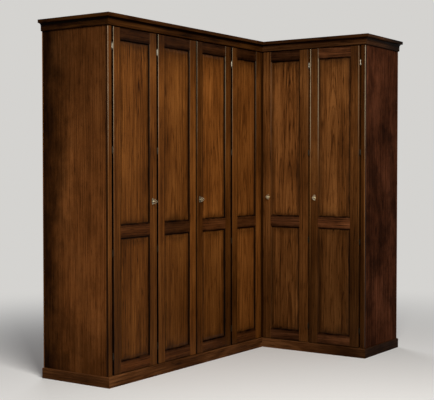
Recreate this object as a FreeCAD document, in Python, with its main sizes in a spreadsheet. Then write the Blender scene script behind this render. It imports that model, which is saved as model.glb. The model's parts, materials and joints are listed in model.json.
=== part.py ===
"""Corner wardrobe in walnut: two wings at a right angle, frame-and-panel leaves on barrel hinges.

All sizes are millimetres.  The part frame has +Z up and its origin under the middle of the whole outline.
The long wing runs along X with its leaves facing -Y, the return wing along Y with its leaves facing -X.
Both wings are drawn from the inner corner, where the two planes of leaf fronts meet: "across" runs from
left to right for someone facing the leaves, "deep" runs from the leaf fronts into the carcass.
"""
import FreeCAD, Part
import math
import os
from types import SimpleNamespace

import Sketcher
from FreeCAD import Placement, Rotation, Vector

SIZES = {
    # overall
    "height": 2400, "depth": 575,
    # leaf widths, left to right
    "single_leaf": 457, "double_leaf": 446, "corner_leaf": 414, "access_leaf": 407, "end_leaf": 421,
    # gaps between leaves
    "hinge_gap": 13, "meeting_gap": 6, "corner_strip": 15, "corner_gap": 8, "leaf_gap": 5,
    # leaf construction
    "leaf_thickness": 22, "leaf_standoff": 0.8, "stile_width": 82, "top_rail": 82, "lock_rail": 94,
    "bottom_rail": 80, "lock_rail_height": 1000, "arris_radius": 3, "ovolo_radius": 8, "ovolo_quirk": 1,
    "groove_depth": 10, "groove_width": 7, "panel_play": 0.6, "panel_fit": 0.1,
    "field_rise": 4, "field_bevel": 22, "field_margin": 1.2,
    # carcass
    "board_thickness": 22, "back_thickness": 8, "post_width": 34, "post_radius": 6, "post_arris": 2,
    "corner_recess": 2, "corner_overlap": 12, "corner_wall": 22,
    # plinth
    "plinth_height": 70, "plinth_overhang": 14, "plinth_thickness": 22, "plinth_radius": 5,
    # cornice
    "cornice_height": 75, "cornice_overhang": 40, "cornice_lap": 3, "band_overhang": 12, "band_height": 32,
    "band_radius": 6, "cove_radius": 20, "cornice_radius": 4,
    # barrel hinges
    "hinge_inset": 124, "barrel_radius": 5.5, "barrel_length": 20, "barrel_gap": 0.3, "barrel_tip": 3,
    "tip_radius": 3, "pin_radius": 2.5, "pin_length": 15, "pin_clearance": 0.05, "tang_thickness": 3,
    "tang_height": 12, "tang_length": 26, "tang_angle": 40, "tang_bite": 24, "tang_fit": 0.1,
    # rim locks
    "lock_height": 1188, "lock_nose": 40, "lock_tail": 24, "lock_above": 28, "lock_below": 18,
    "lock_depth": 14, "lock_wall": 1.5, "lock_clearance": 1.5, "bolt_thickness": 6, "bolt_width": 16,
    "bolt_rise": 6, "bolt_tail": 20, "bolt_throw": 13, "bolt_fit": 0.3, "notch_start": 13.5,
    "notch_width": 14, "notch_depth": 5.5, "escutcheon_radius": 11, "escutcheon_lobe": 7,
    "escutcheon_reach": 15, "escutcheon_thickness": 2,
    # keys
    "stem_radius": 2.5, "stem_fit": 0.3, "stem_reach": 12, "bit_reach": 10, "bit_width": 4,
    "bit_thickness": 3, "slot_width": 4, "collar_radius": 4.5, "collar_length": 3, "bow_thickness": 3,
    "bow_lobe": 8.5, "bow_hole": 4.4, "bow_spread": 9.5, "bow_reach": 12, "bow_web": 7.6,
    # shoot bolts of the passive leaf
    "shoot_inset": 30, "shoot_radius": 4, "shoot_fit": 0.3, "shoot_length": 110, "shoot_throw": 18,
    "shoot_setback": 3, "guide_width": 20, "guide_plate": 2, "guide_block": 14, "guide_length": 90,
    "guide_clearance": 12, "knob_radius": 3, "knob_length": 9, "socket_depth": 14,
    # keeper on the passive leaf
    "keeper_length": 18, "keeper_wall": 2.5, "keeper_setback": 0.5,
    # inside
    "hat_space": 316, "shelf_setback": 40, "cleat": 20, "rail_drop": 75, "rail_radius": 12.5,
    "rail_setback": 290, "flange_radius": 20, "flange_length": 10, "flange_wall": 2, "rail_fit": 0.2,
}

UP = Vector(0, 0, 1)
DEEP = Vector(0, 1, 0)
HINGES_PER_LEAF = 4
STRAIGHT, ROUND, HOLLOW = "straight", "round", "hollow"


class Length:
    """A number together with the expression over the sheet that gives it."""

    def __init__(self, value, text):
        self.value = value
        self.text = text

    def __add__(self, other):
        other = as_length(other)
        return Length(self.value + other.value, f"({self.text} + {other.text})")

    def __sub__(self, other):
        other = as_length(other)
        return Length(self.value - other.value, f"({self.text} - {other.text})")

    def __mul__(self, other):
        other = as_length(other)
        return Length(self.value * other.value, f"({self.text} * {other.text})")

    def __truediv__(self, other):
        other = as_length(other)
        return Length(self.value / other.value, f"({self.text} / {other.text})")

    def __neg__(self):
        return Length(-self.value, f"(-1 * {self.text})")

    def __radd__(self, other):
        return as_length(other) + self

    def __rsub__(self, other):
        return as_length(other) - self

    def __rmul__(self, other):
        return as_length(other) * self


def as_length(number):
    return number if isinstance(number, Length) else Length(number, str(number))


doc = FreeCAD.newDocument("CornerWardrobe")
sheet = doc.addObject("Spreadsheet::Sheet", "Sheet")
for row, (alias, size) in enumerate(SIZES.items(), start=1):
    sheet.set(f"A{row}", alias)
    sheet.set(f"B{row}", str(size))
    sheet.setAlias(f"B{row}", alias)
doc.recompute()

S = SimpleNamespace(**{name: Length(float(sheet.get(name)), f"Sheet.{name}") for name in SIZES})
nodes = {}

# levels, from the floor up
leaf_bottom = S.plinth_height + S.leaf_gap
leaf_top = S.height - S.cornice_height - S.leaf_gap
leaf_height = leaf_top - leaf_bottom
carcass_top = S.height - S.cornice_height + S.cornice_lap
floor_bottom = S.plinth_height - S.board_thickness
shelf_top = carcass_top - S.hat_space
shelf_bottom = shelf_top - S.board_thickness
rail_level = shelf_bottom - S.rail_drop

# leaf positions across each wing, from the inner corner
corner_leaf_end = -S.corner_strip
corner_leaf_start = corner_leaf_end - S.corner_leaf
door_3_end = corner_leaf_start - S.hinge_gap
door_3_start = door_3_end - S.double_leaf
door_2_end = door_3_start - S.meeting_gap
door_2_start = door_2_end - S.double_leaf
door_1_end = door_2_start - S.hinge_gap
door_1_start = door_1_end - S.single_leaf
long_left = door_1_start - S.hinge_gap - S.post_width
door_4_start = S.corner_gap
door_4_end = door_4_start + S.access_leaf
door_5_start = door_4_end + S.hinge_gap
door_5_end = door_5_start + S.end_leaf
return_right = door_5_end + S.hinge_gap + S.post_width

# carcass planes, measured inwards from the leaf fronts
carcass_front = S.leaf_thickness + S.leaf_standoff
carcass_back = S.depth - S.back_thickness
plinth_back = S.plinth_thickness - S.plinth_overhang

# divider centres, behind the hinge gaps
divider_left_at = door_2_start - S.hinge_gap / 2
divider_middle_at = corner_leaf_start - S.hinge_gap / 2
divider_return_at = door_5_start - S.hinge_gap / 2

# place of the inner corner in the part frame
corner_x = (S.cornice_overhang - long_left - S.depth) / 2
corner_y = (return_right + S.cornice_overhang - S.depth) / 2


def bind(obj, prop, length):
    obj.setExpression(prop, as_length(length).text)


def place(obj, wing, across, deep, level, turn=Rotation()):
    """Puts an object at a point of a wing, turned as seen by someone who faces that wing's leaves."""
    across, deep = as_length(across), as_length(deep)
    if wing == "long":
        x, y = corner_x + across, corner_y + deep
    else:
        x, y = corner_x + deep, corner_y - across
        turn = Rotation(UP, -90).multiply(turn)
    obj.Placement = Placement(Vector(), turn)
    bind(obj, "Placement.Base.x", x)
    bind(obj, "Placement.Base.y", y)
    bind(obj, "Placement.Base.z", level)
    return obj


def box(wing, across, deep, level):
    """A board between two planes in each direction."""
    obj = doc.addObject("Part::Box", "Board")
    spans = [[as_length(limit) for limit in span] for span in (across, deep, level)]
    for prop, (low, high) in zip(("Length", "Width", "Height"), spans):
        bind(obj, prop, high - low)
    return place(obj, wing, *(low for low, _ in spans))


def cylinder(wing, across, deep, level, radius, length, direction=UP):
    obj = doc.addObject("Part::Cylinder", "Cylinder")
    bind(obj, "Radius", radius)
    bind(obj, "Height", length)
    return place(obj, wing, across, deep, level, Rotation(UP, direction))


def cone(wing, across, deep, level, radii, length):
    obj = doc.addObject("Part::Cone", "Cone")
    bind(obj, "Radius1", radii[0])
    bind(obj, "Radius2", radii[1])
    bind(obj, "Height", length)
    return place(obj, wing, across, deep, level)


def group(pieces):
    obj = doc.addObject("Part::Compound", "Group")
    obj.Links = pieces
    return obj


def fuse(pieces):
    obj = doc.addObject("Part::MultiFuse", "Fuse")
    obj.Shapes = pieces
    return obj


def cut(base, tools):
    obj = doc.addObject("Part::Cut", "Cut")
    obj.Base = base
    obj.Tool = tools[0] if len(tools) == 1 else group(tools)
    return obj


def node(label, pieces):
    """Names a finished sub-part; several solids share a node as a group."""
    obj = pieces[0] if len(pieces) == 1 else group(pieces)
    obj.Label = label
    nodes[label] = obj


def quarter_arc(start, end):
    """A quarter circle that runs counter-clockwise from one point to another."""
    chord = end - start
    outward = Vector(chord.y, -chord.x, 0)
    middle = (start + end) / 2 + outward * (math.sqrt(2) - 1) / 2
    return Part.Arc(start, middle, end)


def draw_outline(sketch, outline):
    """Draws a closed outline, counter-clockwise, whose corners stay bound to the sheet.

    A corner is (x, y) or (x, y, shape): the side that leaves it is then a quarter circle, ROUND or HOLLOW.
    """
    corners = [(as_length(corner[0]), as_length(corner[1])) for corner in outline]
    points = [Vector(x.value, y.value, 0) for x, y in corners]
    ends = []
    for index, corner in enumerate(outline):
        start, end = points[index], points[(index + 1) % len(points)]
        shape = corner[2] if len(corner) == 3 else STRAIGHT
        if shape == STRAIGHT:
            ends.append((sketch.addGeometry(Part.LineSegment(start, end)), 1, 2))
        elif shape == ROUND:
            ends.append((sketch.addGeometry(quarter_arc(start, end)), 1, 2))
        else:
            ends.append((sketch.addGeometry(quarter_arc(end, start)), 2, 1))
    for index, (side, first, _) in enumerate(ends):
        before, _, last = ends[index - 1]
        sketch.addConstraint(Sketcher.Constraint("Coincident", before, last, side, first))
        for kind, axis, length in zip(("DistanceX", "DistanceY"), (-2, -1), corners[index]):
            if length.text == "0":
                sketch.addConstraint(Sketcher.Constraint("PointOnObject", side, first, axis))
            else:
                rule = Sketcher.Constraint(kind, -1, 1, side, first, length.value)
                bind(sketch, f"Constraints[{sketch.addConstraint(rule)}]", length)
        if len(outline[index]) == 3:
            sketch.addConstraint(Sketcher.Constraint("Angle", side, math.pi / 2))


def profile_bar(outline, length, wing, across, deep, level, turn=Rotation()):
    """A bar of constant section, drawn in its own XY plane and padded along its own Z."""
    body = doc.addObject("PartDesign::Body", "Bar")
    sketch = body.newObject("Sketcher::SketchObject", "Section")
    planes = {feature.Role: feature for feature in body.Origin.OriginFeatures}
    sketch.AttachmentSupport = [(planes["XY_Plane"], "")]
    sketch.MapMode = "FlatFace"
    draw_outline(sketch, outline)
    pad = body.newObject("PartDesign::Pad", "Run")
    pad.Profile = sketch
    bind(pad, "Length", length)
    body.Tip = pad
    return place(body, wing, across, deep, level, turn)


# Leaves: stiles and rails are one moulded section, rails coped over the stiles, panels held in the groove.

lip = S.ovolo_quirk + S.ovolo_radius


def moulded_edge(width):
    """Corners of a frame member's inner edge: quirk, ovolo, panel groove."""
    return [
        (width - S.ovolo_radius, 0),
        (width - S.ovolo_radius, S.ovolo_quirk, ROUND),
        (width, lip),
        (width - S.groove_depth, lip),
        (width - S.groove_depth, lip + S.groove_width),
        (width, lip + S.groove_width),
        (width, S.leaf_thickness),
    ]


def stile_outline(width):
    return [
        (S.arris_radius, 0),
        *moulded_edge(width),
        (0, S.leaf_thickness),
        (0, S.arris_radius, ROUND),
    ]


def lock_rail_outline(width):
    return [
        *moulded_edge(width),
        (0, S.leaf_thickness),
        (0, lip + S.groove_width),
        (S.groove_depth, lip + S.groove_width),
        (S.groove_depth, lip),
        (0, lip, ROUND),
        (S.ovolo_radius, S.ovolo_quirk),
        (S.ovolo_radius, 0),
    ]


class Leaf:
    """One leaf of a wing, between two places across it."""

    def __init__(self, name, wing, start, end, hinge=None, lock=None, lock_offset=None):
        self.name = name
        self.wing = wing
        self.start = start
        self.end = end
        self.hinge = hinge
        self.lock = lock
        self.hinge_at = start - S.hinge_gap / 2 if hinge == "left" else end + S.hinge_gap / 2
        if lock:
            inset = S.lock_nose + lock_offset
            self.key_at = end - inset if lock == "right" else start + inset


# how far a lock case stays back from its leaf's free edge, to pass the divider, the corner post or nothing
behind_divider = (S.board_thickness - S.hinge_gap) / 2 + S.lock_clearance
behind_corner = S.corner_overlap + S.lock_clearance
flush_edge = S.keeper_setback

door_1 = Leaf("door_1", "long", door_1_start, door_1_end, "left", "right", behind_divider)
door_2 = Leaf("door_2", "long", door_2_start, door_2_end, "left")
door_3 = Leaf("door_3", "long", door_3_start, door_3_end, "right", "left", flush_edge)
fixed_leaf = Leaf("corner_leaf", "long", corner_leaf_start, corner_leaf_end)
door_4 = Leaf("door_4", "return", door_4_start, door_4_end, "right", "left", behind_corner)
door_5 = Leaf("door_5", "return", door_5_start, door_5_end, "right", "left", behind_divider)
doors = [door_1, door_2, door_3, door_4, door_5]

hinge_pitch = (leaf_height - 2 * S.hinge_inset) / (HINGES_PER_LEAF - 1)
hinge_levels = [leaf_bottom + S.hinge_inset + hinge_pitch * index for index in range(HINGES_PER_LEAF)]
RIGHTWARD = S.tang_angle.value
LEFTWARD = 180 - RIGHTWARD
STRAIGHT_BACK = 90


def tang(leaf, level, angle, length, clearance=0):
    """A flat plate on edge that leaves the pin's axis; with a clearance it is the mortise for it."""
    plate = doc.addObject("Part::Box", "Tang")
    thickness = S.tang_thickness + 2 * clearance
    height = S.tang_height + 2 * clearance
    bind(plate, "Length", length + clearance)
    bind(plate, "Width", thickness)
    bind(plate, "Height", height)
    aside = Rotation(UP, angle).multVec(DEEP) / -2
    across = leaf.hinge_at + thickness * round(aside.x, 6)
    deep = thickness * round(aside.y, 6)
    return place(plate, leaf.wing, across, deep, level - height / 2, Rotation(UP, angle))


def door_tang(leaf, level, clearance=0):
    """The tang of a hinge's upper half, let in at a slant into the stile's edge."""
    angle = RIGHTWARD if leaf.hinge == "left" else LEFTWARD
    return tang(leaf, level + S.barrel_length / 2, angle, S.tang_length, clearance)


def carcass_tang(leaf, level, clearance=0):
    """The tang of a hinge's lower half: slanted into an end post, straight back into a divider."""
    level = level - S.barrel_length / 2
    if leaf is door_1:
        return tang(leaf, level, LEFTWARD, S.tang_length, clearance)
    if leaf is door_5:
        return tang(leaf, level, RIGHTWARD, S.tang_length, clearance)
    return tang(leaf, level, STRAIGHT_BACK, carcass_front + S.tang_bite, clearance)


def keyhole(leaf, deep, length, radius):
    """A round hole with a slot below it, through which the key's bit passes."""
    hole = cylinder(leaf.wing, leaf.key_at, deep, S.lock_height, radius, length, DEEP)
    half = S.slot_width / 2
    slot = box(
        leaf.wing,
        (leaf.key_at - half, leaf.key_at + half),
        (deep, deep + length),
        (S.lock_height - S.bit_reach - S.stem_fit, S.lock_height),
    )
    return fuse([hole, slot])


def stile(leaf, side):
    outline = stile_outline(S.stile_width)
    if side == "left":
        bar = profile_bar(outline, leaf_height, leaf.wing, leaf.start, 0, leaf_bottom)
    else:
        bar = profile_bar(outline, leaf_height, leaf.wing, leaf.end, 0, leaf_top, Rotation(DEEP, 180))
    tools = []
    if side == leaf.hinge:
        tools += [door_tang(leaf, level, S.tang_fit) for level in hinge_levels]
    if side == leaf.lock:
        tools.append(keyhole(leaf, as_length(0), S.leaf_thickness, S.stem_radius + S.stem_fit))
    return bar, cut(bar, tools) if tools else bar


def coped_rail(leaf, outline, turn, across, level, stiles):
    span = leaf.end - leaf.start - 2 * (S.stile_width - S.groove_depth)
    bar = profile_bar(outline, span, leaf.wing, across, 0, level, Rotation(DEEP, turn))
    return cut(bar, stiles)


def leaf_frame(leaf):
    left_bar, left_stile = stile(leaf, "left")
    right_bar, right_stile = stile(leaf, "right")
    stiles = [left_bar, right_bar]
    left_end = leaf.start + S.stile_width - S.groove_depth
    right_end = leaf.end - S.stile_width + S.groove_depth
    lock_rail_top = S.lock_rail_height + S.lock_rail / 2
    rails = [
        coped_rail(leaf, stile_outline(S.top_rail), 90, left_end, leaf_top, stiles),
        coped_rail(leaf, lock_rail_outline(S.lock_rail), 90, left_end, lock_rail_top, stiles),
        coped_rail(leaf, stile_outline(S.bottom_rail), -90, right_end, leaf_bottom, stiles),
    ]
    node(f"{leaf.name}_frame", [left_stile, right_stile, *rails])


def fielded_panel(leaf, bottom, top):
    """A panel with a tongue all round and a field raised towards the room."""
    left, right = leaf.start + S.stile_width, leaf.end - S.stile_width
    reach = S.groove_depth - S.panel_play
    front = lip + S.panel_fit
    tongue = box(
        leaf.wing,
        (left - reach, right + reach),
        (front, lip + S.groove_width - S.panel_fit),
        (bottom - reach, top + reach),
    )
    field = doc.addObject("Part::Wedge", "Field")
    for axis, size in (("X", right - left), ("Z", top - bottom)):
        bind(field, f"{axis}2min", S.field_margin)
        bind(field, f"{axis}2max", size - S.field_margin)
        bind(field, f"{axis}min", S.field_bevel)
        bind(field, f"{axis}max", size - S.field_bevel)
    bind(field, "Ymin", 0)
    bind(field, "Ymax", S.field_rise)
    place(field, leaf.wing, left, front - S.field_rise, bottom)
    return fuse([tongue, field])


def leaf_panels(leaf):
    lower = fielded_panel(leaf, leaf_bottom + S.bottom_rail, S.lock_rail_height - S.lock_rail / 2)
    upper = fielded_panel(leaf, S.lock_rail_height + S.lock_rail / 2, leaf_top - S.top_rail)
    node(f"{leaf.name}_panels", [lower, upper])


for each_leaf in [*doors, fixed_leaf]:
    leaf_frame(each_leaf)
    leaf_panels(each_leaf)


# Barrel hinges: the lower half holds the pin and stays on the carcass, the upper half turns with the leaf.


def lower_half(leaf, level):
    at = (leaf.wing, leaf.hinge_at, as_length(0))
    top = level - S.barrel_gap / 2
    body_length = S.barrel_length - S.barrel_tip
    barrel = cylinder(*at, top - body_length, S.barrel_radius, body_length)
    tip = cone(*at, top - S.barrel_length, (S.tip_radius, S.barrel_radius), S.barrel_tip)
    pin = cylinder(*at, top, S.pin_radius, S.pin_length)
    return fuse([barrel, tip, pin, carcass_tang(leaf, level)])


def upper_half(leaf, level):
    at = (leaf.wing, leaf.hinge_at, as_length(0))
    bottom = level + S.barrel_gap / 2
    body_length = S.barrel_length - S.barrel_tip
    barrel = cylinder(*at, bottom, S.barrel_radius, body_length)
    tip = cone(*at, bottom + body_length, (S.barrel_radius, S.tip_radius), S.barrel_tip)
    bore = cylinder(*at, bottom, S.pin_radius + S.pin_clearance, S.pin_length)
    return cut(fuse([barrel, tip, door_tang(leaf, level)]), [bore])


node("hinge_carcass_halves", [lower_half(door, level) for door in doors for level in hinge_levels])
for each_leaf in doors:
    node(f"{each_leaf.name}_hinge_halves", [upper_half(each_leaf, level) for level in hinge_levels])


# Rim locks: the key's bit turns in the notch of a bolt that slides out of the case towards the free edge.

bolt_deep = S.leaf_thickness + (S.lock_depth - S.bolt_thickness) / 2


def lock_box(leaf, outward, deep, upward):
    """A box set out from the key axis: outward runs to the leaf's free edge.

    A lock on a left stile is the same lock turned half round, so its upward measures run down.
    """
    sign = 1 if leaf.lock == "right" else -1
    across = sorted((leaf.key_at + sign * limit for limit in outward), key=lambda length: length.value)
    level = sorted((S.lock_height + sign * limit for limit in upward), key=lambda length: length.value)
    return box(leaf.wing, across, deep, level)


def lock_case(leaf):
    shell = lock_box(
        leaf,
        (-S.lock_tail, S.lock_nose),
        (S.leaf_thickness, S.leaf_thickness + S.lock_depth),
        (-S.lock_below, S.lock_above),
    )
    inner = S.leaf_thickness + S.lock_wall
    cavity = lock_box(
        leaf,
        (S.lock_wall - S.lock_tail, S.lock_nose - S.lock_wall),
        (inner, inner + S.lock_depth - 2 * S.lock_wall),
        (S.lock_wall - S.lock_below, S.lock_above - S.lock_wall),
    )
    mouth = lock_box(
        leaf,
        (S.lock_nose - 2 * S.lock_wall, S.lock_nose + S.lock_wall),
        (bolt_deep - S.bolt_fit, bolt_deep + S.bolt_thickness + S.bolt_fit),
        (S.bolt_rise - S.bolt_fit, S.bolt_rise + S.bolt_width + S.bolt_fit),
    )
    entry = keyhole(leaf, S.leaf_thickness, S.lock_wall, S.stem_radius + S.stem_fit)
    return cut(shell, [fuse([cavity, mouth, entry])])


def escutcheon(leaf):
    at = (leaf.wing, leaf.key_at, -S.escutcheon_thickness)
    lobes = [
        cylinder(*at, S.lock_height + reach, radius, S.escutcheon_thickness, DEEP)
        for reach, radius in (
            (as_length(0), S.escutcheon_radius),
            (S.escutcheon_reach, S.escutcheon_lobe),
            (-S.escutcheon_reach, S.escutcheon_lobe),
        )
    ]
    hole = keyhole(leaf, -S.escutcheon_thickness, S.escutcheon_thickness, S.stem_radius + S.stem_fit)
    return cut(fuse(lobes), [hole])


def lock_bolt(leaf):
    bar = lock_box(
        leaf,
        (-S.bolt_tail, S.lock_nose),
        (bolt_deep, bolt_deep + S.bolt_thickness),
        (S.bolt_rise, S.bolt_rise + S.bolt_width),
    )
    notch = lock_box(
        leaf,
        (-S.notch_start, S.notch_width - S.notch_start),
        (bolt_deep, bolt_deep + S.bolt_thickness),
        (S.bolt_rise, S.bolt_rise + S.notch_depth),
    )
    return cut(bar, [notch])


def key(leaf):
    """Stem, collar, a trefoil bow towards the room and a bit that lies level at rest."""
    stem_end = bolt_deep + S.bolt_thickness
    wing, at, level = leaf.wing, leaf.key_at, S.lock_height
    stem = cylinder(wing, at, -S.stem_reach, level, S.stem_radius, stem_end + S.stem_reach, DEEP)
    collar = cylinder(wing, at, -S.stem_reach, level, S.collar_radius, S.collar_length, DEEP)
    bit_front = bolt_deep + (S.bolt_thickness - S.bit_width) / 2
    bit_half = S.bit_thickness / 2
    bit = lock_box(leaf, (-S.bit_reach, 0), (bit_front, bit_front + S.bit_width), (-bit_half, bit_half))
    near = -S.stem_reach - S.bow_lobe + S.collar_length / 2
    centres = [(near, S.bow_spread), (near, -S.bow_spread), (near - S.bow_reach, as_length(0))]
    left = at - S.bow_thickness / 2
    sideways = Vector(1, 0, 0)
    lobes = [cylinder(wing, left, y, level + z, S.bow_lobe, S.bow_thickness, sideways) for y, z in centres]
    holes = [cylinder(wing, left, y, level + z, S.bow_hole, S.bow_thickness, sideways) for y, z in centres]
    web = cylinder(wing, left, near, level, S.bow_web, S.bow_thickness, sideways)
    bow = cut(fuse([*lobes, web]), holes)
    return fuse([stem, collar, bit, bow])


for each_leaf in doors:
    if each_leaf.lock:
        node(f"{each_leaf.name}_lock", [lock_case(each_leaf), escutcheon(each_leaf)])
        node(f"{each_leaf.name}_lock_bolt", [lock_bolt(each_leaf)])
        node(f"{each_leaf.name}_key", [key(each_leaf)])


def bolt_pocket(leaf, wall_offset):
    """The slot that takes a lock's bolt, in a face that stands the given distance past the case's nose."""
    return lock_box(
        leaf,
        (S.lock_nose + wall_offset, S.lock_nose + S.bolt_throw + S.bolt_fit),
        (bolt_deep - S.bolt_fit, bolt_deep + S.bolt_thickness + S.bolt_fit),
        (S.bolt_rise - S.bolt_fit, S.bolt_rise + S.bolt_width + S.bolt_fit),
    )


# The passive leaf: two shoot bolts in guides, and the keeper for its neighbour's lock.

shoot_at = door_2_end - S.shoot_inset
shoot_deep = S.leaf_thickness + S.guide_plate + S.guide_block / 2


def shoot_bolt(upward):
    """A rod with a finger knob, set back inside the leaf's edge."""
    tip = leaf_top - S.shoot_setback if upward else leaf_bottom + S.shoot_setback
    low = tip - S.shoot_length if upward else tip
    middle = low + S.shoot_length / 2
    rod = cylinder("long", shoot_at, shoot_deep, low, S.shoot_radius, S.shoot_length)
    knob_reach = S.guide_block / 2 + S.knob_length
    knob = cylinder("long", shoot_at, shoot_deep, middle, S.knob_radius, knob_reach, DEEP)
    return fuse([rod, knob])


def shoot_guide(upward):
    """A plate on the leaf's back with a bored block at each end."""
    edge = leaf_top - S.guide_clearance if upward else leaf_bottom + S.guide_clearance
    low = edge - S.guide_length if upward else edge
    back = S.leaf_thickness + S.guide_plate
    sides = (shoot_at - S.guide_width / 2, shoot_at + S.guide_width / 2)
    plate = box("long", sides, (S.leaf_thickness, back), (low, low + S.guide_length))
    blocks = [
        box("long", sides, (back, back + S.guide_block), (start, start + S.guide_block))
        for start in (low, low + S.guide_length - S.guide_block)
    ]
    bore = cylinder("long", shoot_at, shoot_deep, low, S.shoot_radius + S.shoot_fit, S.guide_length)
    return cut(fuse([plate, *blocks]), [bore])


def keeper():
    """A box on the passive leaf's back, open to the neighbour's bolt."""
    wall = S.keeper_wall
    far = S.lock_nose + 2 * S.keeper_setback + S.meeting_gap
    low, high = S.bolt_rise - S.bolt_fit, S.bolt_rise + S.bolt_width + S.bolt_fit
    back = bolt_deep + S.bolt_thickness + S.bolt_fit
    shell = lock_box(
        door_3, (far, far + S.keeper_length), (S.leaf_thickness, back + wall), (low - wall, high + wall)
    )
    hollow = lock_box(
        door_3, (far, far + S.keeper_length - wall), (bolt_deep - S.bolt_fit, back), (low, high)
    )
    return cut(shell, [hollow])


node("door_2_bolt_guides", [shoot_guide(True), shoot_guide(False), keeper()])
node("door_2_top_bolt", [shoot_bolt(True)])
node("door_2_bottom_bolt", [shoot_bolt(False)])


# Carcass: end panels, posts and dividers stand on the floor boards and carry the top boards.

half_board = S.board_thickness / 2
standing = (S.plinth_height, carcass_top)
inside = (carcass_front, carcass_back)


def upright(label, wing, across, tools):
    board = box(wing, across, inside, standing)
    node(label, [cut(board, tools) if tools else board])


def hinge_mortises(leaf):
    return [carcass_tang(leaf, level, S.tang_fit) for level in hinge_levels]


def straddle(centre):
    return (centre - half_board, centre + half_board)


upright("left_end_panel", "long", (long_left, long_left + S.board_thickness), [])
upright(
    "divider_left",
    "long",
    straddle(divider_left_at),
    hinge_mortises(door_2) + [bolt_pocket(door_1, S.lock_clearance)],
)
upright("divider_middle", "long", straddle(divider_middle_at), hinge_mortises(door_3))
upright(
    "divider_return",
    "return",
    straddle(divider_return_at),
    hinge_mortises(door_4) + [bolt_pocket(door_5, S.lock_clearance)],
)
upright("return_end_panel", "return", (return_right - S.board_thickness, return_right), [])


def front_post(label, leaf, across, level, turn):
    """A post beside the end leaf, rounded to the room, with a fine groove against the end panel."""
    outline = [
        (S.post_radius, 0),
        (S.post_width - S.post_arris, 0, ROUND),
        (S.post_width, S.post_arris),
        (S.post_width, carcass_front),
        (S.post_arris, carcass_front),
        (0, carcass_front - S.post_arris),
        (0, S.post_radius, ROUND),
    ]
    bar = profile_bar(outline, carcass_top - S.plinth_height, leaf.wing, across, 0, level, turn)
    node(label, [cut(bar, hinge_mortises(leaf))])


front_post("left_front_post", door_1, long_left, S.plinth_height, Rotation())
front_post("return_front_post", door_5, return_right, carcass_top, Rotation(DEEP, 180))

corner_post_outline = [
    (-S.corner_strip, S.corner_recess),
    (carcass_front, S.corner_recess),
    (carcass_front, -S.corner_gap - S.corner_overlap),
    (carcass_front + S.corner_wall, -S.corner_gap - S.corner_overlap),
    (carcass_front + S.corner_wall, carcass_front),
    (-S.corner_strip, carcass_front),
]
corner_bar = profile_bar(
    corner_post_outline, carcass_top - S.plinth_height, "long", 0, 0, S.plinth_height
)
node("inner_corner_post", [cut(corner_bar, [bolt_pocket(door_4, S.lock_clearance)])])

# Boards that lie flat: one to a compartment, two to the corner, butted over the dividers.


def flat_boards(level, front, end_inset, tools):
    """Boards of one level over all compartments; tools bore the board behind the double doors."""
    left_end = long_left + end_inset
    right_end = return_right - end_inset
    double = box("long", (divider_left_at, divider_middle_at), (front, S.depth), level)
    return [
        box("long", (left_end, divider_left_at), (front, S.depth), level),
        cut(double, tools),
        box("long", (divider_middle_at, S.depth), (front, S.depth), level),
        box("return", (-front, divider_return_at), (front, S.depth), level),
        box("return", (divider_return_at, right_end), (front, S.depth), level),
    ]


def shoot_socket(level):
    return cylinder(
        "long", shoot_at, shoot_deep, level, S.shoot_radius + 2 * S.shoot_fit, S.socket_depth
    )


floor_levels = (floor_bottom, S.plinth_height)
top_levels = (carcass_top, carcass_top + S.board_thickness)
floor_socket = shoot_socket(S.plinth_height - S.socket_depth)
node("floor_boards", flat_boards(floor_levels, plinth_back, plinth_back, [floor_socket]))
node("top_boards", flat_boards(top_levels, as_length(0), as_length(0), [shoot_socket(carcass_top)]))

# Back panels close each compartment; the long wing's run right into the corner.

backing = (carcass_back, S.depth)
node(
    "back_panels_long",
    [
        box("long", (long_left, divider_left_at), backing, standing),
        box("long", (divider_left_at, divider_middle_at), backing, standing),
        box("long", (divider_middle_at, S.depth), backing, standing),
    ],
)
node(
    "back_panels_return",
    [
        box("return", (-carcass_back, divider_return_at), backing, standing),
        box("return", (divider_return_at, return_right), backing, standing),
    ],
)

# Plinth and cornice: four lengths each, mitred where they meet.

FACING_FRONT = Rotation(Vector(0, -1, 0), Vector(0, 0, 1), Vector(-1, 0, 0), "XYZ")
FACING_LEFT = Rotation(Vector(-1, 0, 0), Vector(0, 0, 1), Vector(0, 1, 0), "XYZ")


def mitre(across, deep, inset, level, tall, angle):
    """A block whose one face is the mitre plane that leaves a corner at forty-five degrees."""
    block = doc.addObject("Part::Box", "Mitre")
    reach = S.cornice_overhang * 4
    bind(block, "Length", reach)
    bind(block, "Width", reach)
    bind(block, "Height", tall)
    return place(block, "long", across + inset, deep + inset, level, Rotation(UP, angle))


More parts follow.
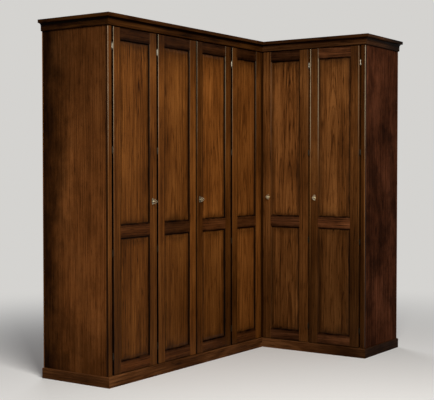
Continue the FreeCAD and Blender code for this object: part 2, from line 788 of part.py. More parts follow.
def moulding_run(prefix, outline, overhang, inset, level, tall):
    """Four mitred lengths of one moulding round the fronts and the two ends."""
    left_corner = (long_left, as_length(0))
    inner_corner = (as_length(0), as_length(0))
    right_corner = (as_length(0), -return_right)

    def keep_right(corner):
        return mitre(*corner, inset, level, tall, 135)

    def keep_left(corner):
        return mitre(*corner, inset, level, tall, 225)

    long_run = profile_bar(outline, inset + overhang - long_left, "long", inset, 0, level, FACING_FRONT)
    node(f"{prefix}_long_front", [cut(long_run, [keep_right(left_corner), keep_left(inner_corner)])])
    return_start = -return_right - overhang
    return_run = profile_bar(outline, inset - return_start, "long", 0, return_start, level, FACING_LEFT)
    node(f"{prefix}_return_front", [cut(return_run, [keep_right(inner_corner), keep_left(right_corner)])])
    left_run = profile_bar(outline, overhang + S.depth, "long", long_left, -overhang, level, FACING_LEFT)
    node(f"{prefix}_left_end", [cut(left_run, [keep_left(left_corner)])])
    right_run = profile_bar(
        outline, overhang + S.depth, "long", S.depth, -return_right, level, FACING_FRONT
    )
    node(f"{prefix}_return_end", [cut(right_run, [keep_right(right_corner)])])


plinth_outline = [
    (-plinth_back, 0),
    (S.plinth_overhang, 0),
    (S.plinth_overhang, S.plinth_height - S.plinth_radius, ROUND),
    (S.plinth_overhang - S.plinth_radius, S.plinth_height),
    (-plinth_back, S.plinth_height),
]
cove_top = S.band_height + S.cove_radius
cornice_outline = [
    (0, 0),
    (S.band_overhang - S.band_radius, 0, ROUND),
    (S.band_overhang, S.band_radius),
    (S.band_overhang, S.band_height, HOLLOW),
    (S.band_overhang + S.cove_radius, cove_top),
    (S.cornice_overhang, cove_top),
    (S.cornice_overhang, S.cornice_height - S.cornice_radius, ROUND),
    (S.cornice_overhang - S.cornice_radius, S.cornice_height),
    (0, S.cornice_height),
]
moulding_run("plinth", plinth_outline, S.plinth_overhang, plinth_back, as_length(0), S.plinth_height)
moulding_run(
    "cornice",
    cornice_outline,
    S.cornice_overhang,
    as_length(0),
    S.height - S.cornice_height,
    S.cornice_height,
)

# Bearers stand on edge under the uprights, from the plinth to the back.

under = (0, floor_bottom)
deep_run = (plinth_back, S.depth)
left_bearer = (long_left + plinth_back, long_left + plinth_back + S.board_thickness)
right_bearer = (return_right - plinth_back - S.board_thickness, return_right - plinth_back)
node(
    "plinth_bearers",
    [
        box("long", left_bearer, deep_run, under),
        box("long", straddle(divider_left_at), deep_run, under),
        box("long", straddle(divider_middle_at), deep_run, under),
        box("long", (S.depth - S.board_thickness, S.depth), deep_run, under),
        box("return", straddle(divider_return_at), deep_run, under),
        box("return", right_bearer, deep_run, under),
    ],
)

# Hat shelves on cleats, hanging rails in flanged sockets below them.

shelf_levels = (shelf_bottom, shelf_top)
cleat_levels = (shelf_bottom - S.cleat, shelf_bottom)
shelf_front = carcass_front + S.shelf_setback
shelf_run = (shelf_front, carcass_back)
rail_deep = S.rail_setback


def compartment(wing, left, right):
    """Shelf, cleats, rail and sockets between two uprights."""
    shelf = box(wing, (left, right), shelf_run, shelf_levels)
    cleats = [
        box(wing, (left, left + S.cleat), shelf_run, cleat_levels),
        box(wing, (right - S.cleat, right), shelf_run, cleat_levels),
    ]
    seat = S.flange_wall
    rail = cylinder(
        wing, left + seat, rail_deep, rail_level, S.rail_radius, right - left - 2 * seat, Vector(1, 0, 0)
    )
    flanges = [flange(wing, left, True), flange(wing, right, False)]
    return shelf, cleats, rail, flanges


def flange(wing, wall, rightward):
    """A cup on an upright that takes a rail's end."""
    start = wall if rightward else wall - S.flange_length
    bore_start = start + S.flange_wall if rightward else start
    bore_length = S.flange_length - S.flange_wall
    along = Vector(1, 0, 0)
    cup = cylinder(wing, start, rail_deep, rail_level, S.flange_radius, S.flange_length, along)
    bore = cylinder(wing, bore_start, rail_deep, rail_level, S.rail_radius + S.rail_fit, bore_length, along)
    return cut(cup, [bore])


compartments = [
    compartment("long", long_left + S.board_thickness, divider_left_at - half_board),
    compartment("long", divider_left_at + half_board, divider_middle_at - half_board),
    compartment("long", divider_middle_at + half_board, carcass_back),
    compartment("return", divider_return_at + half_board, return_right - S.board_thickness),
]
corner_shelf_side = box(
    "return", (-shelf_front, divider_return_at - half_board), shelf_run, shelf_levels
)
corner_cleat = box(
    "return",
    (divider_return_at - half_board - S.cleat, divider_return_at - half_board),
    shelf_run,
    cleat_levels,
)
shelves, cleat_pairs, hanging_rails, flange_pairs = zip(*compartments)
node("hat_shelves", [*shelves, corner_shelf_side])
node("shelf_cleats", [cleat for pair in cleat_pairs for cleat in pair] + [corner_cleat])
node("hanging_rails", list(hanging_rails))
node("rail_sockets", [socket for pair in flange_pairs for socket in pair])

doc.recompute()
failed = [obj.Label for obj in doc.Objects if {"Invalid", "Error"} & set(obj.State)]
if failed:
    raise RuntimeError(f"failed objects: {failed}")
for label, obj in nodes.items():
    if obj.Shape.isNull() or not obj.Shape.isValid() or not obj.Shape.Solids:
        raise RuntimeError(f"no valid shape: {label}")

os.makedirs("parts", exist_ok=True)
for label, obj in nodes.items():
    obj.Shape.exportStep(f"parts/{label}.step")
print(f"{len(nodes)} sub-parts, {sum(len(obj.Shape.Solids) for obj in nodes.values())} solids")
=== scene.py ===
"""Corner wardrobe in stained walnut: finishes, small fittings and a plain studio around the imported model.

Lengths are metres.  On either wing "across" runs from left to right for someone facing the leaves,
"deep" from the leaf fronts into the carcass and "up" from the floor.
"""
import json
import math

import bmesh
import bpy
from bpy.props import FloatProperty, FloatVectorProperty, PointerProperty
from mathutils import Matrix, Vector


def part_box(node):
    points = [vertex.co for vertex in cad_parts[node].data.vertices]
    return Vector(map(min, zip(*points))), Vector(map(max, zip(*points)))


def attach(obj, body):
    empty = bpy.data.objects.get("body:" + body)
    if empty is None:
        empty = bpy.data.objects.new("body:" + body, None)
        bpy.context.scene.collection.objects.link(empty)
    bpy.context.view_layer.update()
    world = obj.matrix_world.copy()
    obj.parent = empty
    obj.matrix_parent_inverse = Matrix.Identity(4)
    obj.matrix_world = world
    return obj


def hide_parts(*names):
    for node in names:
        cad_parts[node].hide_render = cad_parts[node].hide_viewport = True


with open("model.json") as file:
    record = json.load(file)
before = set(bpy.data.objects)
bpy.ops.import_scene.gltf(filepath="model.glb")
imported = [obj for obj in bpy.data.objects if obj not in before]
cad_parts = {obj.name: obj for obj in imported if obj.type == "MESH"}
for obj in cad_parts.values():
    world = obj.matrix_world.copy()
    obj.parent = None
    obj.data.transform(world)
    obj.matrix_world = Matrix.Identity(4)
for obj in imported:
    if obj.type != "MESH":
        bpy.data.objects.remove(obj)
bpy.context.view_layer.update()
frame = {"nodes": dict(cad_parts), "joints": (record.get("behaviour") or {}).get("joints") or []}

bl_info = {
    "name": "Corner wardrobe",
    "version": (1, 0, 0),
    "blender": (4, 5, 0),
    "location": "3D View > Sidebar > Wardrobe",
    "description": "Finishes, small fittings and studio of a walnut corner wardrobe",
    "category": "Object",
}

NODES = frame["nodes"]
LONG, RETURN = "long", "return"

# axis that the leaves of a wing look along: 0 for x, 1 for y
FACING = {LONG: 1, RETURN: 0}

# planes of the leaf fronts, and thickness of a leaf
LEAF_LOW, LEAF_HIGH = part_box("door_1_frame")
LONG_FRONT, RETURN_FRONT = LEAF_LOW.y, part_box("door_4_frame")[0].x
LEAF_THICKNESS = LEAF_HIGH.y - LEAF_LOW.y

# widths of the members of a leaf, and heights of its lock rail
STILE, TOP_RAIL, BOTTOM_RAIL, OVOLO = 0.082, 0.082, 0.080, 0.008
LOCK_RAIL_FOOT, LOCK_RAIL_HEAD = 0.953, 1.047

# four barrel hinges to a leaf, the outer ones at an inset from its ends
HINGE_INSET = 0.124
FIRST_HINGE, LAST_HINGE = LEAF_LOW.z + HINGE_INSET, LEAF_HIGH.z - HINGE_INSET
HINGE_LEVELS = [FIRST_HINGE + (LAST_HINGE - FIRST_HINGE) * step / 3 for step in range(4)]
BARREL_REACH, FINIAL_SEAT = 0.0202, 0.0002

# height of the keys, and lift of an escutcheon's pins above and below it
LOCK_LEVEL, PIN_LIFT = 1.188, 0.0165

# the cast key: lobes of its bow by lift and reach from the leaf, bosses by reach and radius
BOW_LOBES = ((0.0095, 0.019), (-0.0095, 0.019), (0, 0.031))
BOW_BOSSES = ((0.0195, 0.0042), (0.0150, 0.0028), (0.0370, 0.0016))
LOBE_HALF, BOSS_HALF = 0.0015, 0.0019
STEM_RADIUS, STEM_LENGTH, STEM_END = 0.0025, 0.0395, -0.0317
BIT_ROOT, BIT_LEVEL = -0.0022, -0.029

# screws: their inset from the corners of a lock's case and their places on a shoot bolt's guide plate
CASE_INSET = 0.0052
GUIDE_LEVELS = {"door_2_top_bolt": 2.263, "door_2_bottom_bolt": 0.132}
GUIDE_THICKNESS, GUIDE_SIDE, GUIDE_LIFT = 0.002, 0.0068, 0.022

# screws in cleats and rail sockets; runs and rails are those of the long wing, then of the return wing
CLEAT_WIDTH, SOCKET_WIDTH, SOCKET_LIFT = 0.020, 0.010, 0.0163
CLEAT_RUNS = ((0.300, 0.495, 0.690), (0.780, 0.976, 1.170))
RAIL_LINES = (0.4705, 0.951)

# boards that carry rail sockets and cleats: the axis that the face looks along and to which side
SOCKET_WALLS = (("left_end_panel", 0, 1), ("divider_left", 0, -1), ("divider_left", 0, 1),
                ("divider_middle", 0, -1), ("divider_middle", 0, 1), ("back_panels_return", 0, -1),
                ("divider_return", 1, -1), ("return_end_panel", 1, 1))
CLEAT_WALLS = (*SOCKET_WALLS, ("divider_return", 1, 1))

# heights between which the cornice is hollowed
COVE_FOOT, COVE_HEAD = 2.356, 2.377

# heights between which painted shade ends at the foot and begins under the cornice, and the painted
# highlight on abraded edges grows paler
FOOT_SHADE, HEAD_SHADE, PALER_HIGHLIGHT = (0.1, 1.3), (2.34, 2.02), (1.35, 1.85)

# heights between which a leaf's bottom rail gives way to its lock rail, and that to its top rail
ABOVE_BOTTOM_RAIL, ABOVE_LOCK_RAIL = (0.5, 0.6), (1.5, 1.7)

# an abraded rim with a painted highlight runs up the front face of a stile, from where its arris ends; the
# face is a thin layer
RIM_START, RIM_STOP, FRONT_FACE = (0.0046, 0.0060), (0.0105, 0.0092), (0.0010, 0.0004)

# widths over which a front post's arris is abraded and given a painted highlight, and over which patina and
# painted shade gather round a panel
POST_ARRIS, PATINA_AND_SHADE_LINE = (0.0038, 0.0022), (0.010, 0.001)

# place on the y axis behind which the boards belong to the long wing
WING_JOINT = LONG_FRONT - 0.0005

# place and turn in degrees of the picture's viewpoint, with its lens in millimetres
CAMERA_PLACE, CAMERA_TILT, CAMERA_TURN = (-6.1482, -4.0456, 1.4145), 88.19, -55.64
CAMERA_LENS = 84.09


class Leaf:
    """Place and wood of one leaf: the tones of its members are shares of the full walnut colour."""

    def __init__(self, name, wing, seed, crown, arris, bead, panels, left_stile, right_stile, rails):
        low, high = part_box(f"{name}_frame")
        self.name, self.wing, self.seed, self.arris, self.bead = name, wing, seed, arris, bead
        self.upper_panel, self.lower_panel = panels
        self.left_stile, self.right_stile = left_stile, right_stile
        self.top_rail, self.lock_rail, self.bottom_rail = rails
        self.left, self.right = (low.x, high.x) if wing == LONG else (-high.y, -low.y)
        self.bottom, self.top = low.z, high.z
        self.middle = (self.left + self.right) / 2
        self.crown = self.middle + crown


# name, wing, seed and heart of the figure; abrasion with a painted highlight on the left and the right
# arris and on the bead; then
# tones, partly the wood's own and partly painted shade: panels (upper, lower), left and right stile (upper
# half, lower half), rails (top, lock, bottom)
LEAVES = [
    Leaf("door_1", LONG, 3.1, 0.03, arris=(0.60, 0), bead=0.06, panels=(1.05, 1.14),
         left_stile=(0.94, 0.62), right_stile=(1.03, 0.87), rails=(0.16, 0.62, 0.98)),
    Leaf("door_2", LONG, 10.4, -0.05, arris=(0.55, 0), bead=0.10, panels=(1.06, 1.02),
         left_stile=(1.09, 1.01), right_stile=(1.18, 1.50), rails=(0.18, 0.33, 0.66)),
    Leaf("door_3", LONG, 12.4, 0.02, arris=(0.50, 0), bead=0.40, panels=(1.60, 1.12),
         left_stile=(0.69, 0.97), right_stile=(0.84, 0.62), rails=(0.21, 0.74, 0.55)),
    Leaf("corner_leaf", LONG, 23.1, -0.02, arris=(0.50, 0), bead=0.20, panels=(1.38, 1.62),
         left_stile=(1.17, 0.82), right_stile=(0.93, 1.40), rails=(0.17, 0.56, 0.73)),
    Leaf("door_4", RETURN, 26.0, 0.04, arris=(0, 0.05), bead=0.10, panels=(1.28, 1.02),
         left_stile=(1.15, 0.82), right_stile=(0.94, 1.08), rails=(0.19, 0.66, 0.51)),
    Leaf("door_5", RETURN, 33.8, -0.01, arris=(0.85, 0.25), bead=0.55, panels=(1.02, 0.73),
         left_stile=(0.85, 0.58), right_stile=(0.86, 0.47), rails=(0.58, 1.09, 0.72)),
]
LOCKED_DOORS = ("door_1", "door_3", "door_4", "door_5")
WINGS = {leaf.name: leaf.wing for leaf in LEAVES}


def colour_setting(name, description, default, most=1.0):
    return FloatVectorProperty(
        name=name, description=description, subtype="COLOR", size=3, default=default, min=0, max=most)


def walnut_setting(name, place, default):
    """Shares of the walnut colour, channel by channel, on some place of the wardrobe."""
    return colour_setting(name, f"Share of the walnut colour on {place}", default, 4)


def share_setting(name, description, default, most=1.0):
    return FloatProperty(
        name=name, description=description, subtype="FACTOR", default=default, min=0, max=most)


def length_setting(name, description, default, least, most):
    return FloatProperty(
        name=name, description=description, unit="LENGTH", default=default, min=least, max=most)


class WalnutProperties(bpy.types.PropertyGroup):
    """Colours and tones of the wood."""

    dark: colour_setting("Dark streak", "Colour of the darkest streaks", (0.024, 0.0070, 0.0014))
    middle: colour_setting("Stained walnut", "Main colour of the stained wood", (0.108, 0.0338, 0.0058))
    pale: colour_setting("Pale streak", "Colour of the palest streaks", (0.230, 0.0820, 0.0168))
    # painted highlight with abrasion: the pale edge colours are paler near the top, where more light falls,
    # and amber lower down
    wear_and_highlight: colour_setting(
        "Worn arris", "Colour of the worn edges near the top, bleached by light", (0.46, 0.37, 0.24))
    rubbed_and_lit: colour_setting("Rubbed arris", "Colour of the worn edges further down", (0.27, 0.115, 0.030))
    # the raised blue of the rails is partly a painted reflection, standing in for a greyish sheen
    rail_share: walnut_setting("Rails", "the rails of the leaves", (1.0, 0.99, 1.50))
    plinth_share: walnut_setting("Plinth", "the plinth and the return cornice", (1.0, 1.12, 1.90))
    return_share: walnut_setting("Return leaves", "the leaves of the return wing", (1.0, 1.08, 1.40))
    carcass: walnut_setting("Inside boards", "the boards inside", (1.7, 1.85, 2.2))
    # the raised blue of the left end is partly a painted reflection, standing in for a sheen
    left_end: walnut_setting("Left end", "the left end panel", (1.52, 1.57, 2.15))
    # painted shade: the right end is darker and redder than the left end
    right_end: walnut_setting("Right end", "the right end panel", (0.53, 0.49, 1.08))
    moulding_tone: share_setting("Moulding tone", "How dark the cornice is", 0.34, 2)
    plinth_tone: share_setting("Plinth tone", "How dark the plinth is", 0.84, 2)
    # the darkening round the panels is partly patina and partly painted shade
    patina_and_shade: share_setting("Dark glaze", "How far the stain darkens hollows and panel borders", 0.66)
    gloss: share_setting("Polish", "Weight of the wax polish over the wood", 0.015)


class MetalProperties(bpy.types.PropertyGroup):
    """Colours of the metal fittings."""

    key_brass: colour_setting("Key brass", "Brass of the keys and escutcheons", (0.86, 0.78, 0.56))
    hinge_brass: colour_setting("Hinge brass", "Satin brass of the barrel hinges", (0.26, 0.235, 0.18))
    lock_iron: colour_setting("Lock iron", "Blackened iron of locks and bolts", (0.085, 0.080, 0.076))
    rail_steel: colour_setting("Rail steel", "Brushed steel of the hanging rails", (0.58, 0.58, 0.57))


class FittingProperties(bpy.types.PropertyGroup):
    """Sizes of the small fittings."""

    finial: length_setting("Finial radius", "Radius of the turned tips of the hinges", 0.0030, 0.001, 0.005)
    screw: length_setting("Screw radius", "Radius of a wood screw's head", 0.0032, 0.001, 0.006)
    pin: length_setting("Pin radius", "Radius of an escutcheon pin's head", 0.0017, 0.0005, 0.004)
    bow_lobe: length_setting("Bow lobe", "Radius of a lobe of the key's bow", 0.0085, 0.004, 0.012)
    bow_hole: length_setting("Bow hole", "Radius of the hole in a lobe", 0.0060, 0.001, 0.008)


class StudioProperties(bpy.types.PropertyGroup):
    """Light and floor of the studio."""

    key_power: FloatProperty(
        name="Main softbox", description="Power of the softbox in front", unit="POWER", default=320, min=0)
    rear_power: FloatProperty(
        name="Rear softbox", description="Power of the softbox behind", unit="POWER", default=120, min=0)
    fill: FloatProperty(
        name="Room light", description="Strength of the light from all around", default=0.14, min=0)
    paper: colour_setting("Background", "Colour of the floor and the background", (0.66, 0.65, 0.63))
    bounce: colour_setting(
        "Floor bounce", "Colour of the light that the floor throws back at the wood", (0.20, 0.17, 0.13))


class Value:
    """An output socket on which arithmetic adds Math nodes."""

    def __init__(self, owner, socket):
        self.owner = owner
        self.socket = socket

    def math(self, operation, *operands):
        return self.owner.node("Math", {"operation": operation}, dict(enumerate(operands)))

    def __add__(self, other):
        return self.math("ADD", self, other)

    def __sub__(self, other):
        return self.math("SUBTRACT", self, other)

    def __rsub__(self, other):
        return self.math("SUBTRACT", other, self)

    def __mul__(self, other):
        return self.math("MULTIPLY", self, other)

    __radd__ = __add__
    __rmul__ = __mul__

    def least(self, other):
        return self.math("MINIMUM", self, other)

    def most(self, other):
        return self.math("MAXIMUM", self, other)

    def size(self):
        return self.math("ABSOLUTE", self)

    def rise(self, low, high):
        """0 up to low, 1 from high on, and a smooth step between; a low above high falls instead."""
        return self.owner.node(
            "MapRange", {"interpolation_type": "SMOOTHSTEP"},
            {"Value": self, "From Min": low, "From Max": high})

    def between(self, start, stop):
        """Start where this is 0, stop where it is 1."""
        return self * (stop - start) + start


class NodeTree:
    """The node tree of a material or a world, written from empty."""

    def __init__(self, owner):
        owner.use_nodes = True
        self.tree = owner.node_tree
        self.tree.nodes.clear()

    def node(self, kind, settings=None, sockets=None, output=0):
        """Adds a shader node, makes its settings first and then gives its sockets their values or links."""
        made = self.tree.nodes.new(f"ShaderNode{kind}")
        for name, setting in (settings or {}).items():
            if name == "stops":
                ramp = made.color_ramp.elements
                while len(ramp) < len(setting):
                    ramp.new(1.0)
                for stop, (position, colour) in zip(ramp, setting):
                    stop.position = position
                    stop.color = (*colour, 1.0)
            else:
                setattr(made, name, setting)
        for name, value in (sockets or {}).items():
            if isinstance(value, Value):
                self.tree.links.new(value.socket, made.inputs[name])
            else:
                made.inputs[name].default_value = value
        return Value(self, made.outputs[output]) if made.outputs else None

    def seen(self):
        """1 for what the camera sees, straight or in metal or glass, and 0 for light on the object."""
        camera, glossy, through = (
            self.node("LightPath", output=f"Is {ray} Ray")
            for ray in ("Camera", "Glossy", "Transmission"))
        return camera.most(glossy).most(through)


class Paint(NodeTree):
    """The node tree of one finish, with Object coordinates as its only way to know a place."""

    def __init__(self, name):
        self.material = bpy.data.materials.new(name)
        super().__init__(self.material)
        place = self.node("TexCoord", output="Object")
        split = self.node("SeparateXYZ", None, {0: place}).socket.node
        self.x, self.y, self.z = (Value(self, socket) for socket in split.outputs)

    def plan(self, axis):
        """The place along one axis of the floor plan, and then along the other."""
        return (self.x, self.y) if axis == "x" else (self.y, self.x)

    def wing_place(self, wing):
        """Across, deep and up on a wing."""
        if wing == LONG:
            return self.x, self.y - LONG_FRONT, self.z
        return 0 - self.y, self.x - RETURN_FRONT, self.z

    def noise(self, point, detail=2.0, roughness=0.5):
        vector = self.node("CombineXYZ", None, dict(enumerate(point)))
        return self.node(
            "TexNoise", None,
            {"Vector": vector, "Scale": 1.0, "Detail": detail, "Roughness": roughness})

    def ring_noise(self, distance, detail):
        return self.node(
            "TexNoise", {"noise_dimensions": "1D"},
            {"W": distance, "Scale": 1.0, "Detail": detail, "Roughness": 0.62})

    def reach(self, first, second):
        """How far a place on a plane lies from the plane's origin."""
        flat = self.node("CombineXYZ", None, {0: first, 1: second})
        return self.node("VectorMath", {"operation": "LENGTH"}, {0: flat}, "Value")

    def mix(self, factor, first, second):
        return self.node("Mix", {"data_type": "RGBA"}, {0: factor, 6: first, 7: second}, 2)

    def shade(self, colour, share):
        """The colour made darker or paler by a share."""
        return self.node("VectorMath", {"operation": "SCALE"}, {0: colour, "Scale": share})

    def tint(self, colour, share):
        """The colour with each of its channels made darker or paler by its own share."""
        return self.node("VectorMath", {"operation": "MULTIPLY"}, {0: colour, 1: tuple(share)})

    def surface(self, sockets, height, strength, distance):
        """Closes the tree with a surface that has a fine relief, and returns the material."""
        relief = self.node(
            "Bump", None, {"Height": height, "Strength": strength, "Distance": distance})
        return self.close(self.node("BsdfPrincipled", None, {**sockets, "Normal": relief}))

    def close(self, shader):
        self.node("OutputMaterial", None, {"Surface": shader})
        return self.material


class Walnut(Paint):
    """One cut of walnut: rings about a heart, streaks, fibres, pores and broad clouds of tone."""

    def __init__(self, name, wood, share=None):
        super().__init__(name)
        self.wood = wood
        self.share = share

    def grow(self, along, across, deep, seed, crown, contrast=1.0):
        """Works out the figure of a board whose heart lies behind the line across = crown."""
        drift = self.noise((across * 2.4 + seed, along * 0.8, deep * 2.4), 2.0) - 0.5
        out = self.reach(across - crown + drift * 0.06, along * 0.03 + 0.04 + drift * 0.03)
        rings = self.ring_noise(out * 60 + seed, 1.5)
        late_wood = (rings - 0.5).size().rise(0.045, 0.0)
        streaks = self.noise((across * 105 + seed + drift * 4, along * 1.1, deep * 105), 3.0, 0.6)
        fibres = self.noise((across * 300 + seed, along * 5, deep * 300), 2.0)
        flecks = self.noise((across * 110 - seed, along * 9, deep * 110), 2.0).rise(0.55, 0.72)
        self.cloud = self.noise((across * 4.2 + seed, along * 1.7, deep * 4.2), 2.0)
        self.pores = self.noise((across * 1150 + seed, along * 60, deep * 1150), 1.0).rise(0.58, 0.70)
        swing = rings * 0.20 + streaks * 0.70 + fibres * 0.70 + self.cloud * 0.70 - 1.085
        self.figure = (swing - late_wood * 0.16 - flecks * 0.24) * contrast + 0.5
        self.colour = self.node(
            "ValToRGB",
            {"stops": [(0.08, self.wood.dark), (0.50, self.wood.middle), (0.92, self.wood.pale)]},
            {0: self.figure})
        if self.share:
            self.colour = self.tint(self.colour, self.share)

    def patches(self, across, deep, up, seed):
        """Where the abraded, highlighted arris shows: it comes and goes along an arris."""
        spots = self.noise((across * 30, deep * 30, up * 9 + seed), 3.0, 0.6)
        return spots.rise(0.22, 0.55).between(0.5, 1)

    def polish(self, tone, wear_and_highlight=None, sheen=0.028):
        """Shades the figure by a tone, paints the abraded places paler, partly as a painted highlight,
        makes them glossier and closes the tree.
        """
        colour = self.shade(self.colour, (1 - self.pores * 0.45) * tone)
        gloss = self.wood.gloss
        if wear_and_highlight:
            # painted highlight on the abraded edges: paler near the top, amber further down
            worn_and_lit = self.mix(self.z.rise(*PALER_HIGHLIGHT), (*self.wood.rubbed_and_lit, 1.0), (*self.wood.wear_and_highlight, 1.0))
            colour = self.mix(wear_and_highlight, colour, worn_and_lit)
            gloss = wear_and_highlight * 0.5 + gloss
        return self.surface(
            {"Base Color": colour, "Roughness": self.figure * -0.10 + self.pores * 0.18 + 0.43,
             "Specular IOR Level": sheen, "Coat Weight": gloss, "Coat Roughness": 0.16},
            self.figure * 0.35 - self.pores, 0.22, 0.0004)


def put_on(node, materials, choose=None):
    """Gives a CAD node its finishes; choose tells from a polygon's middle which of them it takes."""
    mesh = NODES[node].data
    mesh.materials.clear()
    for material in materials:
        mesh.materials.append(material)
    for polygon in mesh.polygons:
        polygon.material_index = choose(polygon.center) if choose else 0


def hollow(deep):
    """Where the hollows darken, partly with patina and partly as painted shade: in the mouldings and on the
    edges, but not on the back of a leaf.
    """
    return deep.rise(0.0004, 0.0016) * deep.rise(0.0214, 0.0185)


def shading(up, wing):
    """Painted shade: darker towards the foot and under the cornice, where less light falls."""
    foot, head = (0.78, 0.40) if wing == LONG else (0.78, 0.55)
    return up.rise(*FOOT_SHADE).between(foot, 1) * up.rise(*HEAD_SHADE).between(head, 1)


def leaf_cut(leaf, wood, member):
    """A cut of wood for a leaf's stiles, rails or panels, with the place across, deep and up."""
    cut = Walnut(f"walnut_{leaf.name}_{member}", wood)
    if leaf.wing == RETURN:
        cut.share = wood.return_share
    return cut, *cut.wing_place(leaf.wing)


def stile_finish(leaf, wood):
    cut, across, deep, up = leaf_cut(leaf, wood, "stiles")
    cut.grow(up, across, deep, leaf.seed + 40, leaf.left - 0.35, 1.2)
    right_side = across.rise(leaf.middle - 0.01, leaf.middle + 0.01)
    upper_half = up.rise(0.5, 1.6)
    left, right = (
        upper_half.between(lower, upper) for upper, lower in (leaf.left_stile, leaf.right_stile))
    edges = [across - leaf.left, leaf.right - across]
    # pale lines up the stile edges and along the moulding: abrasion with a painted highlight
    left_rim, right_rim = (edge.rise(*RIM_START) * edge.rise(*RIM_STOP) for edge in edges)
    far = edges[1] if leaf.wing == LONG else edges[0]
    bead = (far - STILE + OVOLO).size().rise(0.0042, 0.0012) * deep.rise(0.0024, 0.0010)
    rims = (left_rim * leaf.arris[0] + right_rim * leaf.arris[1]) * deep.rise(*FRONT_FACE)
    wear_and_highlight = rims * up.rise(0.3, 1.2) + bead * up.rise(1.1, 1.5) * leaf.bead
    wear_and_highlight = wear_and_highlight * cut.patches(across, deep, up, leaf.seed)
    # the hollows darkened, partly patina and partly painted shade in the gaps between leaves
    stain_and_shade = hollow(deep) * 0.95
    if leaf.wing == LONG:
        # painted shade: a dark band along the left edge, for the gap beside it
        edge_shade = 1 - edges[0].rise(0.0054, 0.0040) * 0.95
    else:
        # painted shade on the return wing: lighter at the left edge, and less in the right gap and on the
        # left moulding
        edge_shade = edges[0].rise(0.0010, 0.0030).between(0.5, 1)
        stain_and_shade = stain_and_shade * (1 - edges[1].rise(0.0060, 0.0030) * 0.5)
        stain_and_shade = stain_and_shade * (1 - edges[0].rise(STILE - 0.02, STILE - OVOLO) * (1 - right_side) * 0.6)
    # painted shade towards the far edge; shading() adds painted shade at the foot and the head
    edge_shade = edge_shade * far.rise(0.0, 0.030).between(0.75, 1)
    tone = right_side.between(left, right) * (1 - stain_and_shade)
    return cut.polish(tone * edge_shade * shading(up, leaf.wing), wear_and_highlight)


def rail_finish(leaf, wood):
    cut, across, deep, up = leaf_cut(leaf, wood, "rails")
    cut.grow(across, up, deep, leaf.seed + 60, 1.6, 1.3)
    # the greyer tint is partly a painted reflection, standing in for sheen
    cut.colour = cut.tint(cut.colour, wood.rail_share)
    bottom = (up - leaf.bottom).least(leaf.bottom + BOTTOM_RAIL - up)
    lock = (up - LOCK_RAIL_FOOT).least(LOCK_RAIL_HEAD - up)
    top = (up - leaf.top + TOP_RAIL).least(leaf.top - up)
    blotch = cut.noise((across * 14 + leaf.seed, up * 14, deep), 3.0, 0.6)
    wander = (blotch - 0.5) * 0.05
    # the hollows darkened, partly patina and partly painted shade
    stain_and_shade = hollow(deep) * blotch.rise(0.60, 0.40).between(0.45, 0.95)
    # dark rail edges beside the panels: patina and painted shadow
    border = (bottom.most(lock).most(top) + wander).rise(0.002, 0.034).between(0.50, 1)
    # rail tones: the top rail's darkness is partly painted shade under the cornice
    tone = up.rise(*ABOVE_BOTTOM_RAIL).between(leaf.bottom_rail, leaf.lock_rail)
    tone = tone + up.rise(*ABOVE_LOCK_RAIL) * (leaf.top_rail - leaf.lock_rail)
    # the top rail darker towards its lower edge
    head = (up - leaf.top + TOP_RAIL + wander * 1.6).rise(0.0, 0.09).between(1, 1.75)
    return cut.polish(tone * border * head * (1 - stain_and_shade), None, 0.015)


def panel_finish(leaf, wood):
    cut, across, deep, up = leaf_cut(leaf, wood, "panels")
    # border lines of different strength at the left and the right side: patina and painted shadow
    contrast, left_border_share, right_border_share = (1.12, 0.6, 1.0) if leaf.wing == LONG else (1.42, 0.25, 0.7)
    cut.grow(up, across, deep, leaf.seed, leaf.crown, contrast)
    left_side, right_side = across - leaf.left - STILE, leaf.right - STILE - across
    ends = (up - leaf.bottom - BOTTOM_RAIL).least(leaf.top - TOP_RAIL - up)
    lock = (up - (LOCK_RAIL_FOOT + LOCK_RAIL_HEAD) / 2).size() - (LOCK_RAIL_HEAD - LOCK_RAIL_FOOT) / 2
    border = (left_side.least(right_side) * 1.8).least(ends).least(lock)
    blotch = cut.noise((across * 9 + leaf.seed, deep, up * 7), 3.0, 0.6)
    patina_and_shade = blotch.rise(0.60, 0.40).between(0.55, 1.25) * wood.patina_and_shade
    # dark lines round the panel: patina and painted shadow under the rails and the moulding
    line = 1 - ends.least(lock).rise(*PATINA_AND_SHADE_LINE) * patina_and_shade
    for distance, share in ((left_side, left_border_share), (right_side, right_border_share)):
        line = line * (1 - distance.rise(*PATINA_AND_SHADE_LINE) * patina_and_shade * share)
    # a soft darkening towards the panel's border: patina and painted shade
    haze = (border + (blotch - 0.5) * 0.14).rise(-0.01, 0.075).between(0.54, 1)
    half = up.rise(LOCK_RAIL_FOOT, LOCK_RAIL_HEAD).between(leaf.lower_panel, leaf.upper_panel)
    return cut.polish(line * haze * half * shading(up, leaf.wing))


class FinishLeaves(bpy.types.Operator):
    """Stain the stiles, rails and panels of the six leaves, each cut from its own boards"""

    bl_idname = "wardrobe.finish_leaves"
    bl_label = "Finish leaves"

    def execute(self, context):
        wood = context.scene.wardrobe_walnut
        for leaf in LEAVES:
            inner = (leaf.left + STILE + 0.001, leaf.right - STILE - 0.001)

            def stile_or_rail(centre, wing=leaf.wing, inner=inner):
                across = centre.x if wing == LONG else -centre.y
                return 1 if inner[0] < across < inner[1] else 0

            finishes = [stile_finish(leaf, wood), rail_finish(leaf, wood)]
            put_on(f"{leaf.name}_frame", finishes, stile_or_rail)
            put_on(f"{leaf.name}_panels", [panel_finish(leaf, wood)])
        return {"FINISHED"}


